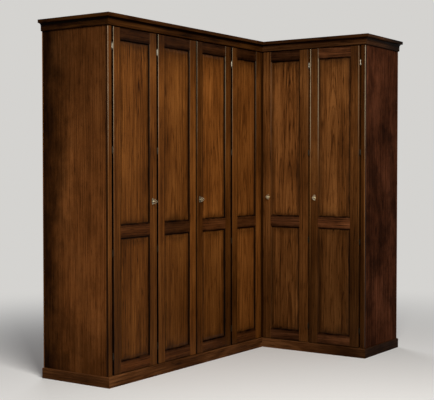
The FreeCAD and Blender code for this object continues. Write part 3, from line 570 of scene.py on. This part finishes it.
def upright_finish(name, wood, across_axis, seed, tone, share=None, contrast=1.0):
    """Walnut with its grain upright; across_axis tells which way the board is wide."""
    cut = Walnut(name, wood, share)
    across, deep = cut.plan(across_axis)
    cut.grow(cut.z, across, deep, seed, -0.6, contrast)
    return cut.polish((cut.cloud * 0.4 + 0.80) * tone)


def post_finish(node, wood, across_axis, seed, tone, worn_and_lit):
    """A front post: its outer side dark, its outer arris abraded pale with a painted highlight, paler
    higher up.
    """
    cut = Walnut(f"walnut_{node}", wood)
    across, deep = cut.plan(across_axis)
    outer = across - getattr(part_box(node)[0], across_axis)
    front = deep - (LONG_FRONT if across_axis == "x" else RETURN_FRONT)
    cut.grow(cut.z, across, deep, seed, -0.6)
    # painted highlight with abrasion on the outer arris, fainter towards the foot
    wear_and_highlight = outer.rise(*POST_ARRIS) * front.rise(*POST_ARRIS) * cut.z.rise(*FOOT_SHADE).between(0.1, 0.9)
    patches = cut.patches(across, deep, cut.z, seed)
    side = 1 - front.rise(0.0036, 0.0066) * 0.65
    # painted shade, darker towards the foot
    foot = cut.z.rise(0.2, 1.2).between(0.7, 1)
    return cut.polish(side * foot * tone * (cut.cloud * 0.5 + 0.75), wear_and_highlight * patches * worn_and_lit)


def end_finish(node, wood, across_axis, seed, share, contrast, fade, mottle, corner_paling):
    """An end panel: upright grain, blotches by mottle, and painted shade by fade at back, head and foot.

    The last argument is how far the corner at the front of the head is made paler.
    """
    cut = Walnut(f"walnut_{node}", wood, share)
    across, deep = cut.plan(across_axis)
    cut.grow(cut.z, across, deep, seed, -0.6, contrast)
    low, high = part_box(node)
    start, stop = (getattr(corner, across_axis) for corner in (low, high))
    blotch = cut.noise((across * 6 + seed, deep, cut.z * 4), 5.0, 0.66)
    wander = (blotch - 0.5) * 0.22
    # painted shade at back, head and foot, by fade
    back = 1 - (stop - across + wander).rise(0.30, -0.03) * 0.90 * fade
    head = 1 - (high.z - cut.z + wander).rise(1.3, 0.0) * 0.55 * fade
    foot = 1 - (cut.z - low.z + wander).rise(0.45, -0.05) * 0.35 * fade
    spots = blotch.rise(0.33, 0.64) * mottle + (1.1 - mottle * 0.6)
    paled = (across - start + wander).rise(0.34, 0.06) * cut.z.rise(1.72, 2.15) * corner_paling + 1
    return cut.polish(back * head * foot * spots * paled, None, 0.0)


def level_finish(name, wood, along_axis, seed, tone, share=None, contrast=1.0, cove=0.0, dusk=None):
    """Walnut with its grain level, along the x or the y axis.

    Cove is how far painted shade darkens the hollow of the cornice under its fascia.  Dusk gives the places
    along the run between which the tone darkens, and the share of the tone that is left there.
    """
    cut = Walnut(name, wood, share)
    along, across = cut.plan(along_axis)
    cut.grow(along, across, cut.z, seed, 2.0, contrast)
    tone = (cut.cloud * 0.5 + 0.75) * tone
    # painted shade in the cove, under the fascia
    if cove:
        foot = cut.z.rise(COVE_FOOT + 0.002, COVE_FOOT + 0.010)
        head = cut.z.rise(COVE_HEAD, COVE_HEAD - 0.004)
        tone = tone * (1 - foot * head * cove)
    if dusk:
        start, stop, left = dusk
        tone = tone * (1 - along.rise(start, stop) * (1 - left))
    return cut.polish(tone, None, 0.006)


def on_return(spot):
    """1 for what belongs to the return wing, 0 for the long wing."""
    return 1 if spot.y < WING_JOINT else 0


def middle_of(box):
    low, high = box
    return (low + high) / 2


def bay_of_long_wing(spot):
    """0 and 1 by turns for the bays between the dividers of the long wing."""
    dividers = [middle_of(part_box(divider)) for divider in ("divider_left", "divider_middle")]
    return sum(spot.x > divider.x for divider in dividers) % 2


def bay_of_return_wing(spot):
    return 1 if spot.y < middle_of(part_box("divider_return")).y else 0


def bay_along_its_wing(spot):
    """0 and 1 for the bays of the long wing, 2 and 3 for those of the return wing."""
    return 2 + bay_of_return_wing(spot) if on_return(spot) else bay_of_long_wing(spot)


class FinishCarcass(bpy.types.Operator):
    """Stain the end panels and posts, and finish the boards inside in paler walnut veneer"""

    bl_idname = "wardrobe.finish_carcass"
    bl_label = "Finish carcass"

    def pair(self, finish, name, wood, axis, seed):
        """Two cuts of the inside veneer, for neighbouring boards."""
        return [finish(f"veneer_{name}_{axis}_{number}", wood, axis, seed + 6.3 * number, tone,
                       wood.carcass, 0.65) for number, tone in enumerate((1.0, 0.86))]

    def execute(self, context):
        wood = context.scene.wardrobe_walnut
        # axis across, seed, share of the colour, contrast, fade of the painted shade, mottle and paling of
        # the corner
        ends = {
            "left_end_panel": ("y", 51.0, wood.left_end, 0.85, 1.0, 0.35, 0.0),
            # the right end's share darkens it as painted shade
            "return_end_panel": ("x", 57.0, wood.right_end, 1.25, 0.15, 0.95, 0.65),
        }
        for node, cut in ends.items():
            put_on(node, [end_finish(node, wood, *cut)])
        # axis across, seed, tone, and abrasion with a painted highlight
        posts = {"left_front_post": ("x", 63.0, 0.85, 0.65), "return_front_post": ("y", 64.5, 0.46, 1.0)}
        for node, cut in posts.items():
            put_on(node, [post_finish(node, wood, *cut)])
        corner_post = upright_finish("walnut_corner_post", wood, "x", 66.0, 0.30, None, 0.65)
        put_on("inner_corner_post", [corner_post])
        upright_x = self.pair(upright_finish, "upright", wood, "x", 419.0)
        upright_y = self.pair(upright_finish, "upright", wood, "y", 421.9)
        level_x = self.pair(level_finish, "level", wood, "x", 425.0)
        level_y = self.pair(level_finish, "level", wood, "y", 427.9)
        put_on("back_panels_long", upright_x, bay_of_long_wing)
        put_on("back_panels_return", upright_y, bay_of_return_wing)
        put_on("divider_return", upright_x[:1])
        for board in ("divider_left", "divider_middle"):
            put_on(board, upright_y[:1])
        for board in ("floor_boards", "top_boards", "hat_shelves"):
            put_on(board, level_x + level_y, bay_along_its_wing)
        for board in ("shelf_cleats", "plinth_bearers"):
            put_on(board, [level_y[0], level_x[0]], on_return)
        return {"FINISHED"}


class FinishMouldings(bpy.types.Operator):
    """Stain the four lengths of the cornice and of the plinth along their run"""

    bl_idname = "wardrobe.finish_mouldings"
    bl_label = "Finish mouldings"

    def execute(self, context):
        wood = context.scene.wardrobe_walnut
        head, foot, grey = wood.moulding_tone, wood.plinth_tone, wood.plinth_share
        # axis along, seed, tone, share of the colour, painted shade in the cove and dusk
        lengths = {
            "cornice_long_front": ("x", 81.0, head * 0.86, None, 0.75, None),
            "cornice_return_end": ("x", 84.0, head * 1.20, grey, 0.50, (0.78, 1.12, 0.22)),
            "cornice_left_end": ("y", 87.0, head * 0.68, None, 0.75, None),
            "cornice_return_front": ("y", 90.0, head, grey, 0.40, None),
            "plinth_long_front": ("x", 81.0, foot, grey, 0.0, None),
            "plinth_return_end": ("x", 84.0, foot * 0.28, grey, 0.0, None),
            "plinth_left_end": ("y", 87.0, foot * 0.96, grey, 0.0, None),
            "plinth_return_front": ("y", 90.0, foot * 0.80, grey, 0.0, (-0.15, -0.68, 0.42)),
        }
        for node, (axis, seed, tone, share, cove, dusk) in lengths.items():
            put_on(node, [level_finish(f"walnut_{node}", wood, axis, seed, tone, share, 1.4, cove, dusk)])
        return {"FINISHED"}


def metal_finish(name, colour, roughness, tarnish, brushed=None, foot=1.0):
    """Metal with cloudy tarnish and fine scratches, brushed along an axis where one is given.

    A foot below 1 is painted shade: the share of the colour that is left on fittings below a leaf's upper
    part.
    """
    paint = Paint(name)
    scale = {"x": (8, 900, 900), "y": (900, 8, 900), None: (420, 420, 420)}[brushed]
    scratches = paint.noise((paint.x * scale[0], paint.y * scale[1], paint.z * scale[2]), 3.0)
    clouds = paint.noise((paint.x * 95, paint.y * 95, paint.z * 95), 3.0)
    dull = clouds.rise(0.42, 0.68)
    dark = tuple(channel * (1 - tarnish) for channel in colour)
    # painted shade: fittings darker below a leaf's upper part, by the foot
    tone = paint.z.rise(1.4, 2.1).between(foot, 1)
    return paint.surface(
        {"Base Color": paint.shade(paint.mix(dull, (*colour, 1.0), (*dark, 1.0)), tone), "Metallic": 1.0,
         "Roughness": dull * 0.16 + scratches * 0.14 + (roughness - 0.07)},
        scratches, 0.12, 0.0002)


def metals(context):
    """The metals, made once and then found by name."""
    tints = context.scene.wardrobe_metal
    # colour, roughness, tarnish, axis of the brushing and share left at the foot as painted shade
    wanted = {
        # the long wing's keys and plates are darker copies of the brass, as painted shade
        "brass_keys_long": (tuple(0.72 * channel for channel in tints.key_brass), 0.32, 0.35),
        "brass_plates_long": (tuple(0.42 * channel for channel in tints.key_brass), 0.36, 0.50),
        "brass_return": (tints.key_brass, 0.30, 0.15),
        "brass_hinges": (tints.hinge_brass, 0.34, 0.50, None, 0.08),
        "iron_locks": (tints.lock_iron, 0.46, 0.40),
        "steel_rails_x": (tints.rail_steel, 0.30, 0.15, "x"),
        "steel_rails_y": (tints.rail_steel, 0.30, 0.15, "y"),
    }
    for name, (colour, *finish) in wanted.items():
        if name not in bpy.data.materials:
            metal_finish(name, tuple(colour), *finish)
    return {name: bpy.data.materials[name] for name in wanted}


def brass_of(pieces, door):
    """The name of the brass of a door's "keys" or "plates": on the long wing a darker copy, as painted
    shade.
    """
    return f"brass_{pieces}_long" if WINGS[door] == LONG else "brass_return"


def is_behind(door, spot):
    """Whether a spot lies nearer to the back of a door's leaf than to its front, or behind it."""
    deep = spot.y - LONG_FRONT if WINGS[door] == LONG else spot.x - RETURN_FRONT
    return deep > LEAF_THICKNESS / 2


def lock_box(door, behind):
    """Lowest and highest of the middles of faces on a lock's case, or on its escutcheon in front."""
    spots = [polygon.center for polygon in NODES[f"{door}_lock"].data.polygons
             if is_behind(door, polygon.center) == behind]
    return [Vector(end(spot[axis] for spot in spots) for axis in range(3)) for end in (min, max)]


class FinishMetal(bpy.types.Operator):
    """Give hinges, locks, bolts, rails and sockets their metals"""

    bl_idname = "wardrobe.finish_metal"
    bl_label = "Finish metal"

    def execute(self, context):
        metal = metals(context)
        put_on("hinge_carcass_halves", [metal["brass_hinges"]])
        for number in range(1, 6):
            put_on(f"door_{number}_hinge_halves", [metal["brass_hinges"]])
        for door in LOCKED_DOORS:

            def case_or_plate(spot, door=door):
                return 0 if is_behind(door, spot) else 1

            put_on(f"{door}_lock", [metal["iron_locks"], metal[brass_of("plates", door)]], case_or_plate)
            put_on(f"{door}_lock_bolt", [metal["iron_locks"]])
        for fitting in ("door_2_bolt_guides", "door_2_top_bolt", "door_2_bottom_bolt"):
            put_on(fitting, [metal["iron_locks"]])
        for fitting in ("hanging_rails", "rail_sockets"):
            put_on(fitting, [metal["steel_rails_x"], metal["steel_rails_y"]], on_return)
        return {"FINISHED"}


def fresh(name):
    """Names the piece that was just added and goes into edit mode with nothing selected."""
    piece = bpy.context.object
    piece.name = name
    piece.data.name = name
    bpy.ops.object.mode_set(mode="EDIT")
    bpy.ops.mesh.select_mode(type="FACE")
    bpy.ops.mesh.select_all(action="DESELECT")
    return piece


def pick_faces(piece, direction):
    """Selects the faces that look in a direction, in edit mode."""
    bpy.ops.mesh.select_all(action="DESELECT")
    mesh = bmesh.from_edit_mesh(piece.data)
    for face in mesh.faces:
        face.select_set(face.normal.dot(Vector(direction)) > 0.9)
    mesh.select_flush_mode()
    bmesh.update_edit_mesh(piece.data)


def settle(piece):
    """Leaves edit mode with clean outward normals, smooth but for the sharp edges."""
    bpy.ops.mesh.select_all(action="SELECT")
    bpy.ops.mesh.remove_doubles(threshold=0.00001)
    bpy.ops.mesh.normals_make_consistent(inside=False)
    bpy.ops.object.mode_set(mode="OBJECT")
    bpy.ops.object.shade_smooth_by_angle(angle=math.radians(35))
    return piece


def turned(name, radius, height, steps, sides=24):
    """A turned shape on the Z axis: a cylinder, then steps that each raise its end to a new radius."""
    bpy.ops.mesh.primitive_cylinder_add(
        vertices=sides, radius=radius, depth=height, location=(0, 0, height / 2))
    piece = fresh(name)
    pick_faces(piece, (0, 0, 1))
    level, now = height, radius
    for lift, wide in steps:
        bpy.ops.mesh.extrude_region_move(TRANSFORM_OT_translate={"value": (0, 0, lift)})
        level += lift
        bpy.ops.transform.resize(value=(wide / now, wide / now, 1), center_override=(0, 0, level))
        now = wide
    return settle(piece)


def join(pieces, name):
    """Makes one piece of several, at the origin."""
    bpy.ops.object.select_all(action="DESELECT")
    for piece in pieces:
        piece.select_set(True)
    bpy.context.view_layer.objects.active = pieces[0]
    if len(pieces) > 1:
        bpy.ops.object.join()
    pieces[0].name = name
    pieces[0].data.name = name
    return pieces[0]


def copies(pattern, places, name):
    """One piece of copies of a pattern, each copy put in its place by a matrix."""
    made = []
    for place in places:
        twin = pattern.copy()
        twin.data = pattern.data.copy()
        twin.data.transform(place)
        bpy.context.scene.collection.objects.link(twin)
        made.append(twin)
    return join(made, name)


def discard(piece):
    mesh = piece.data
    bpy.data.objects.remove(piece)
    bpy.data.meshes.remove(mesh)


def dress(piece, material, body):
    """Gives a new piece its finish and the body that it moves with."""
    piece.data.materials.clear()
    piece.data.materials.append(material)
    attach(piece, body)


def facing(point, normal, size=1.0, roll=0.0):
    """The matrix that stands a pattern's Z axis along a normal at a point."""
    turn = Vector((0, 0, 1)).rotation_difference(Vector(normal)).to_matrix().to_4x4()
    return Matrix.Translation(point) @ turn @ Matrix.Rotation(roll, 4, "Z") @ Matrix.Scale(size, 4)


def fixing(axis, side, face, along, level, size=1.0, roll=0.0):
    """The matrix that puts a fixing on an upright face, which looks to one side along axis 0 or 1."""
    if axis == 0:
        return facing((face, along, level), (side, 0, 0), size, roll)
    return facing((along, face, level), (0, side, 0), size, roll)


def key_place(door):
    """Matrix from the key's own axes, bow thickness, up and outwards, to its place in a lock."""
    point = middle_of(lock_box(door, behind=False))
    point.z = LOCK_LEVEL
    if WINGS[door] == LONG:
        point.y = LONG_FRONT
        turn = Matrix(((1, 0, 0), (0, 0, -1), (0, 1, 0)))
    else:
        point.x = RETURN_FRONT
        turn = Matrix(((0, 0, -1), (-1, 0, 0), (0, 1, 0)))
    flip = Matrix.Identity(4) if door == "door_1" else Matrix.Rotation(math.pi, 4, "Z")
    return Matrix.Translation(point) @ turn.to_4x4() @ flip


def set_out(piece, shares, place):
    """Resizes a new piece about the origin and puts it in its place."""
    bpy.ops.mesh.select_all(action="SELECT")
    bpy.ops.transform.resize(value=shares, center_override=(0, 0, 0))
    bpy.ops.object.mode_set(mode="OBJECT")
    piece.data.transform(place)
    return piece


def key_bow(lobe, hole):
    """The cast bow: three pierced lobes about a small boss, melted together."""
    ring, wire = (lobe + hole) / 2, (lobe - hole) / 2
    upright = Matrix.Rotation(math.pi / 2, 4, "Y")
    parts = []
    for up, out in BOW_LOBES:
        bpy.ops.mesh.primitive_torus_add(
            major_radius=ring, minor_radius=wire, major_segments=40, minor_segments=14)
        place = Matrix.Translation((0, up, out)) @ upright
        parts.append(set_out(fresh("key_lobe"), (1, 1, LOBE_HALF / wire), place))
    for out, wide in BOW_BOSSES:
        bpy.ops.mesh.primitive_uv_sphere_add(segments=20, ring_count=12, radius=wide)
        place = Matrix.Translation((0, 0, out))
        parts.append(set_out(fresh("key_boss"), (min(1, BOSS_HALF / wide), 1, 1), place))
    bow = join(parts, "key_bow")
    melt = bow.modifiers.new("Melt", "REMESH")
    melt.mode = "VOXEL"
    melt.voxel_size = 0.00036
    soften = bow.modifiers.new("Soften", "SMOOTH")
    soften.factor = 0.5
    soften.iterations = 4
    for modifier in ("Melt", "Soften"):
        bpy.ops.object.modifier_apply(modifier=modifier)
    bpy.ops.object.shade_smooth()
    return bow


def key_pattern(fittings):
    """A key about its own axes: X across the bow, Y up, Z outwards from the leaf."""
    stem = turned("key_stem", STEM_RADIUS, STEM_LENGTH, [
        (0, 0.0032), (0.0006, 0.0036), (0.0005, 0.0036), (0.0006, 0.0028), (0.0006, 0.0040),
        (0.0005, 0.0045), (0.0007, 0.0045), (0.0005, 0.0040), (0.0006, 0.0026), (0.0012, 0.0022),
        (0.0030, 0.0019), (0.0020, 0.0012)])
    stem.data.transform(Matrix.Translation((0, 0, STEM_END)))
    root = (BIT_ROOT, 0, BIT_LEVEL)
    bpy.ops.mesh.primitive_cube_add(size=0.001, location=root)
    bit = fresh("key_bit")
    bpy.ops.mesh.select_all(action="SELECT")
    bpy.ops.transform.resize(value=(1, 3, 4), center_override=root)
    for reach, width in ((0.0020, 1.0), (0.0008, 0.5), (0.0012, 1.0), (0, 2.0), (0.0033, 1.0)):
        pick_faces(bit, (-1, 0, 0))
        bpy.ops.mesh.extrude_region_move(TRANSFORM_OT_translate={"value": (-reach, 0, 0)})
        bpy.ops.transform.resize(value=(1, 1, width), center_override=(0, 0, BIT_LEVEL))
    settle(bit)
    edges = bit.modifiers.new("Filed edges", "BEVEL")
    edges.width = 0.0002
    edges.segments = 2
    bpy.ops.object.modifier_apply(modifier="Filed edges")
    bow = key_bow(fittings.bow_lobe, fittings.bow_hole)
    return join([bow, stem, bit], "key_pattern")


class AddKeys(bpy.types.Operator):
    """Model the key once and put a copy in each of the four locks"""

    bl_idname = "wardrobe.add_keys"
    bl_label = "Add keys"

    def execute(self, context):
        metal = metals(context)
        pattern = key_pattern(context.scene.wardrobe_fittings)
        for door in LOCKED_DOORS:
            piece = copies(pattern, [key_place(door)], f"{door}_cast_key")
            dress(piece, metal[brass_of("keys", door)], f"{door}_key")
            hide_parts(f"{door}_key")
        discard(pattern)
        return {"FINISHED"}


def hinge_axes():
    """For each hung door, a point on its hinge axis."""
    hinges = [joint for joint in frame["joints"] if joint["name"].endswith("_hinge")]
    return {joint["child"]: Vector(joint["pos_m"]) for joint in hinges}


class AddFinials(bpy.types.Operator):
    """Turn a small button finial once and put copies on both ends of every barrel hinge"""

    bl_idname = "wardrobe.add_finials"
    bl_label = "Add hinge finials"

    def execute(self, context):
        brass = metals(context)["brass_hinges"]
        size = context.scene.wardrobe_fittings.finial
        pattern = turned("finial_pattern", size, 0.0004, [
            (0.0005, size * 0.62), (0.0006, size * 0.60), (0.0006, size * 0.86), (0.0009, size),
            (0.0009, size * 0.90), (0.0008, size * 0.62), (0.0004, size * 0.25)])
        reach = BARREL_REACH - FINIAL_SEAT
        below = []
        for door, axis in hinge_axes().items():
            above = [facing((axis.x, axis.y, level + reach), (0, 0, 1)) for level in HINGE_LEVELS]
            below += [facing((axis.x, axis.y, level - reach), (0, 0, -1)) for level in HINGE_LEVELS]
            dress(copies(pattern, above, f"{door}_hinge_finials"), brass, door)
        dress(copies(pattern, below, "lower_hinge_finials"), brass, "carcass")
        discard(pattern)
        return {"FINISHED"}


def screw_pattern(radius):
    """A round-headed wood screw's head on the Z axis, with its slot cut across."""
    head = turned("screw_pattern", radius, radius * 0.16, [
        (radius * 0.16, radius * 0.95), (radius * 0.14, radius * 0.78),
        (radius * 0.10, radius * 0.48), (radius * 0.03, radius * 0.12)], 20)
    bpy.ops.mesh.primitive_cube_add(size=radius * 3, location=(0, 0, radius * 1.82))
    slot = set_out(fresh("screw_slot"), (0.09, 1, 1), Matrix.Identity(4))
    cut = head.modifiers.new("Slot", "BOOLEAN")
    cut.operation = "DIFFERENCE"
    cut.solver = "EXACT"
    cut.object = slot
    bpy.ops.object.select_all(action="DESELECT")
    bpy.context.view_layer.objects.active = head
    bpy.ops.object.modifier_apply(modifier="Slot")
    discard(slot)
    return head


def lock_screws(door):
    """Four screws in the back of a rim lock's case."""
    axis = FACING[WINGS[door]]
    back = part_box(f"{door}_lock")[1][axis]
    low, high = lock_box(door, behind=True)
    places = []
    for along in (low[1 - axis] + CASE_INSET, high[1 - axis] - CASE_INSET):
        for level in (low.z + CASE_INSET, high.z - CASE_INSET):
            places.append(fixing(axis, 1, back, along, level, 0.85, 7.0 * along + 3.0 * level))
    return places


def guide_screws():
    """Four screws in each guide plate of the passive leaf, two on either side of its bolt."""
    places = []
    back = LONG_FRONT + LEAF_THICKNESS + GUIDE_THICKNESS
    for bolt, plate in GUIDE_LEVELS.items():
        along = middle_of(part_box(bolt)).x
        for side in (-GUIDE_SIDE, GUIDE_SIDE):
            for lift in (-GUIDE_LIFT, GUIDE_LIFT):
                roll = 40 * lift + 90 * side
                places.append(fixing(FACING[LONG], 1, back, along + side, plate + lift, 0.75, roll))
    return places


def wall_face(board, axis, side):
    """Where the face of a board lies along the axis that it looks along."""
    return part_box(board)[1 if side > 0 else 0][axis]


def carcass_screws():
    """Three screws in each shelf cleat and two in each rail socket."""
    cleat_level, rail_level = (middle_of(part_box(node)).z for node in ("shelf_cleats", "rail_sockets"))
    places = []
    for board, axis, side in CLEAT_WALLS:
        face = wall_face(board, axis, side) + side * CLEAT_WIDTH
        for along in CLEAT_RUNS[axis]:
            places.append(fixing(axis, side, face, along, cleat_level, 1.0, 9 * along))
    for board, axis, side in SOCKET_WALLS:
        face = wall_face(board, axis, side) + side * SOCKET_WIDTH
        for lift in (-SOCKET_LIFT, SOCKET_LIFT):
            places.append(fixing(axis, side, face, RAIL_LINES[axis], rail_level + lift, 0.8, 60 * lift))
    return places


class AddScrews(bpy.types.Operator):
    """Model a slotted screw once and fix locks, bolt guides, cleats and rail sockets with copies"""

    bl_idname = "wardrobe.add_screws"
    bl_label = "Add screws"

    def execute(self, context):
        iron = metals(context)["iron_locks"]
        pattern = screw_pattern(context.scene.wardrobe_fittings.screw)
        for door in LOCKED_DOORS:
            dress(copies(pattern, lock_screws(door), f"{door}_lock_screws"), iron, door)
        dress(copies(pattern, guide_screws(), "door_2_guide_screws"), iron, "door_2")
        dress(copies(pattern, carcass_screws(), "carcass_screws"), iron, "carcass")
        discard(pattern)
        return {"FINISHED"}


class AddPins(bpy.types.Operator):
    """Model a domed pin once and nail each escutcheon with two copies"""

    bl_idname = "wardrobe.add_pins"
    bl_label = "Add escutcheon pins"

    def execute(self, context):
        metal = metals(context)
        size = context.scene.wardrobe_fittings.pin
        pattern = turned("pin_pattern", size, size * 0.15, [
            (size * 0.20, size * 0.92), (size * 0.20, size * 0.70), (size * 0.12, size * 0.38),
            (size * 0.03, size * 0.08)], 16)
        for door in LOCKED_DOORS:
            axis = FACING[WINGS[door]]
            plate = lock_box(door, behind=False)
            face, along = plate[0][axis], middle_of(plate)[1 - axis]
            places = [fixing(axis, -1, face, along, LOCK_LEVEL + lift) for lift in (-PIN_LIFT, PIN_LIFT)]
            piece = copies(pattern, places, f"{door}_escutcheon_pins")
            dress(piece, metal[brass_of("plates", door)], door)
        discard(pattern)
        return {"FINISHED"}


def softbox(name, location, target, size, power, colour):
    bpy.ops.object.light_add(type="AREA", location=location)
    lamp = bpy.context.object
    lamp.name = name
    lamp.data.shape = "RECTANGLE"
    lamp.data.size, lamp.data.size_y = size
    lamp.data.energy = power
    lamp.data.color = colour
    lamp.visible_camera = False
    lamp.rotation_euler = (Vector(target) - lamp.location).to_track_quat("-Z", "Y").to_euler()


class AddStage(bpy.types.Operator):
    """Lay the pale floor, set the soft lights and stand the camera at the picture's viewpoint"""

    bl_idname = "wardrobe.add_stage"
    bl_label = "Add studio"

    def execute(self, context):
        studio = context.scene.wardrobe_studio
        bpy.ops.mesh.primitive_plane_add(size=60, location=(0, 0, 0))
        floor = context.object
        floor.name = "studio_floor"
        floor.data.materials.append(self.floor_finish(studio))
        self.light_room(context.scene, studio)
        softbox("main_softbox", location=(-3.2, -3.4, 4.2), target=(0.1, 0.0, 1.7), size=(2.4, 2.0),
                power=studio.key_power, colour=(1, 0.97, 0.92))
        softbox("rear_softbox", location=(4.2, 4.6, 4.2), target=(0.2, 0.2, 1.2), size=(3.0, 2.4),
                power=studio.rear_power, colour=(1, 1, 1))
        self.stand_camera(context.scene)
        context.scene.view_settings.view_transform = "Standard"
        return {"FINISHED"}

    def floor_finish(self, studio):
        """Pale paper that keeps shadows near the wardrobe and fades into the background further off."""
        paint = Paint("floor_paper")
        seen = paint.seen()
        colour = paint.mix(seen, (*studio.bounce, 1.0), (0.9, 0.9, 0.9, 1.0))
        near = paint.node("BsdfDiffuse", None, {"Color": colour})
        far = paint.node("Emission", None, {"Color": (*studio.paper, 1.0)})
        share = paint.reach(paint.x, paint.y).rise(1.6, 5.0) * seen
        return paint.close(paint.node("MixShader", None, {0: share, 1: near, 2: far}))

    def light_room(self, scene, studio):
        """Even light from all around, and the paper's colour where the camera looks past the floor."""
        scene.world = scene.world or bpy.data.worlds.new("studio")
        room = NodeTree(scene.world)
        fill = room.node("Background", None, {"Strength": studio.fill})
        wall = room.node("Background", None, {"Color": (*studio.paper, 1.0)})
        shown = room.node("MixShader", None, {0: room.seen(), 1: fill, 2: wall})
        room.node("OutputWorld", None, {"Surface": shown})

    def stand_camera(self, scene):
        bpy.ops.object.camera_add(
            location=CAMERA_PLACE, rotation=(math.radians(CAMERA_TILT), 0, math.radians(CAMERA_TURN)))
        camera = bpy.context.object
        camera.name = "picture_camera"
        camera.data.sensor_fit = "HORIZONTAL"
        camera.data.sensor_width = 36
        camera.data.lens = CAMERA_LENS
        scene.camera = camera


STEPS = (FinishLeaves, FinishCarcass, FinishMouldings, FinishMetal,
         AddKeys, AddFinials, AddScrews, AddPins, AddStage)
SETTINGS = {
    "wardrobe_walnut": WalnutProperties,
    "wardrobe_metal": MetalProperties,
    "wardrobe_fittings": FittingProperties,
    "wardrobe_studio": StudioProperties,
}


class WardrobePanel(bpy.types.Panel):
    """Steps and settings of the wardrobe"""

    bl_idname = "VIEW3D_PT_wardrobe"
    bl_label = "Corner wardrobe"
    bl_space_type = "VIEW_3D"
    bl_region_type = "UI"
    bl_category = "Wardrobe"

    def draw(self, context):
        for step in STEPS:
            self.layout.operator(step.bl_idname)
        for name, group in SETTINGS.items():
            box = self.layout.box()
            for setting in group.__annotations__:
                box.prop(getattr(context.scene, name), setting)


def register():
    for group in SETTINGS.values():
        bpy.utils.register_class(group)
    for step in (*STEPS, WardrobePanel):
        bpy.utils.register_class(step)
    for name, group in SETTINGS.items():
        setattr(bpy.types.Scene, name, PointerProperty(type=group))


def unregister():
    for name in SETTINGS:
        delattr(bpy.types.Scene, name)
    for step in (WardrobePanel, *reversed(STEPS)):
        bpy.utils.unregister_class(step)
    for group in SETTINGS.values():
        bpy.utils.unregister_class(group)


def main():
    register()
    for step in STEPS:
        group, name = step.bl_idname.split(".")
        getattr(getattr(bpy.ops, group), name)()


if __name__ == "__main__":
    main()
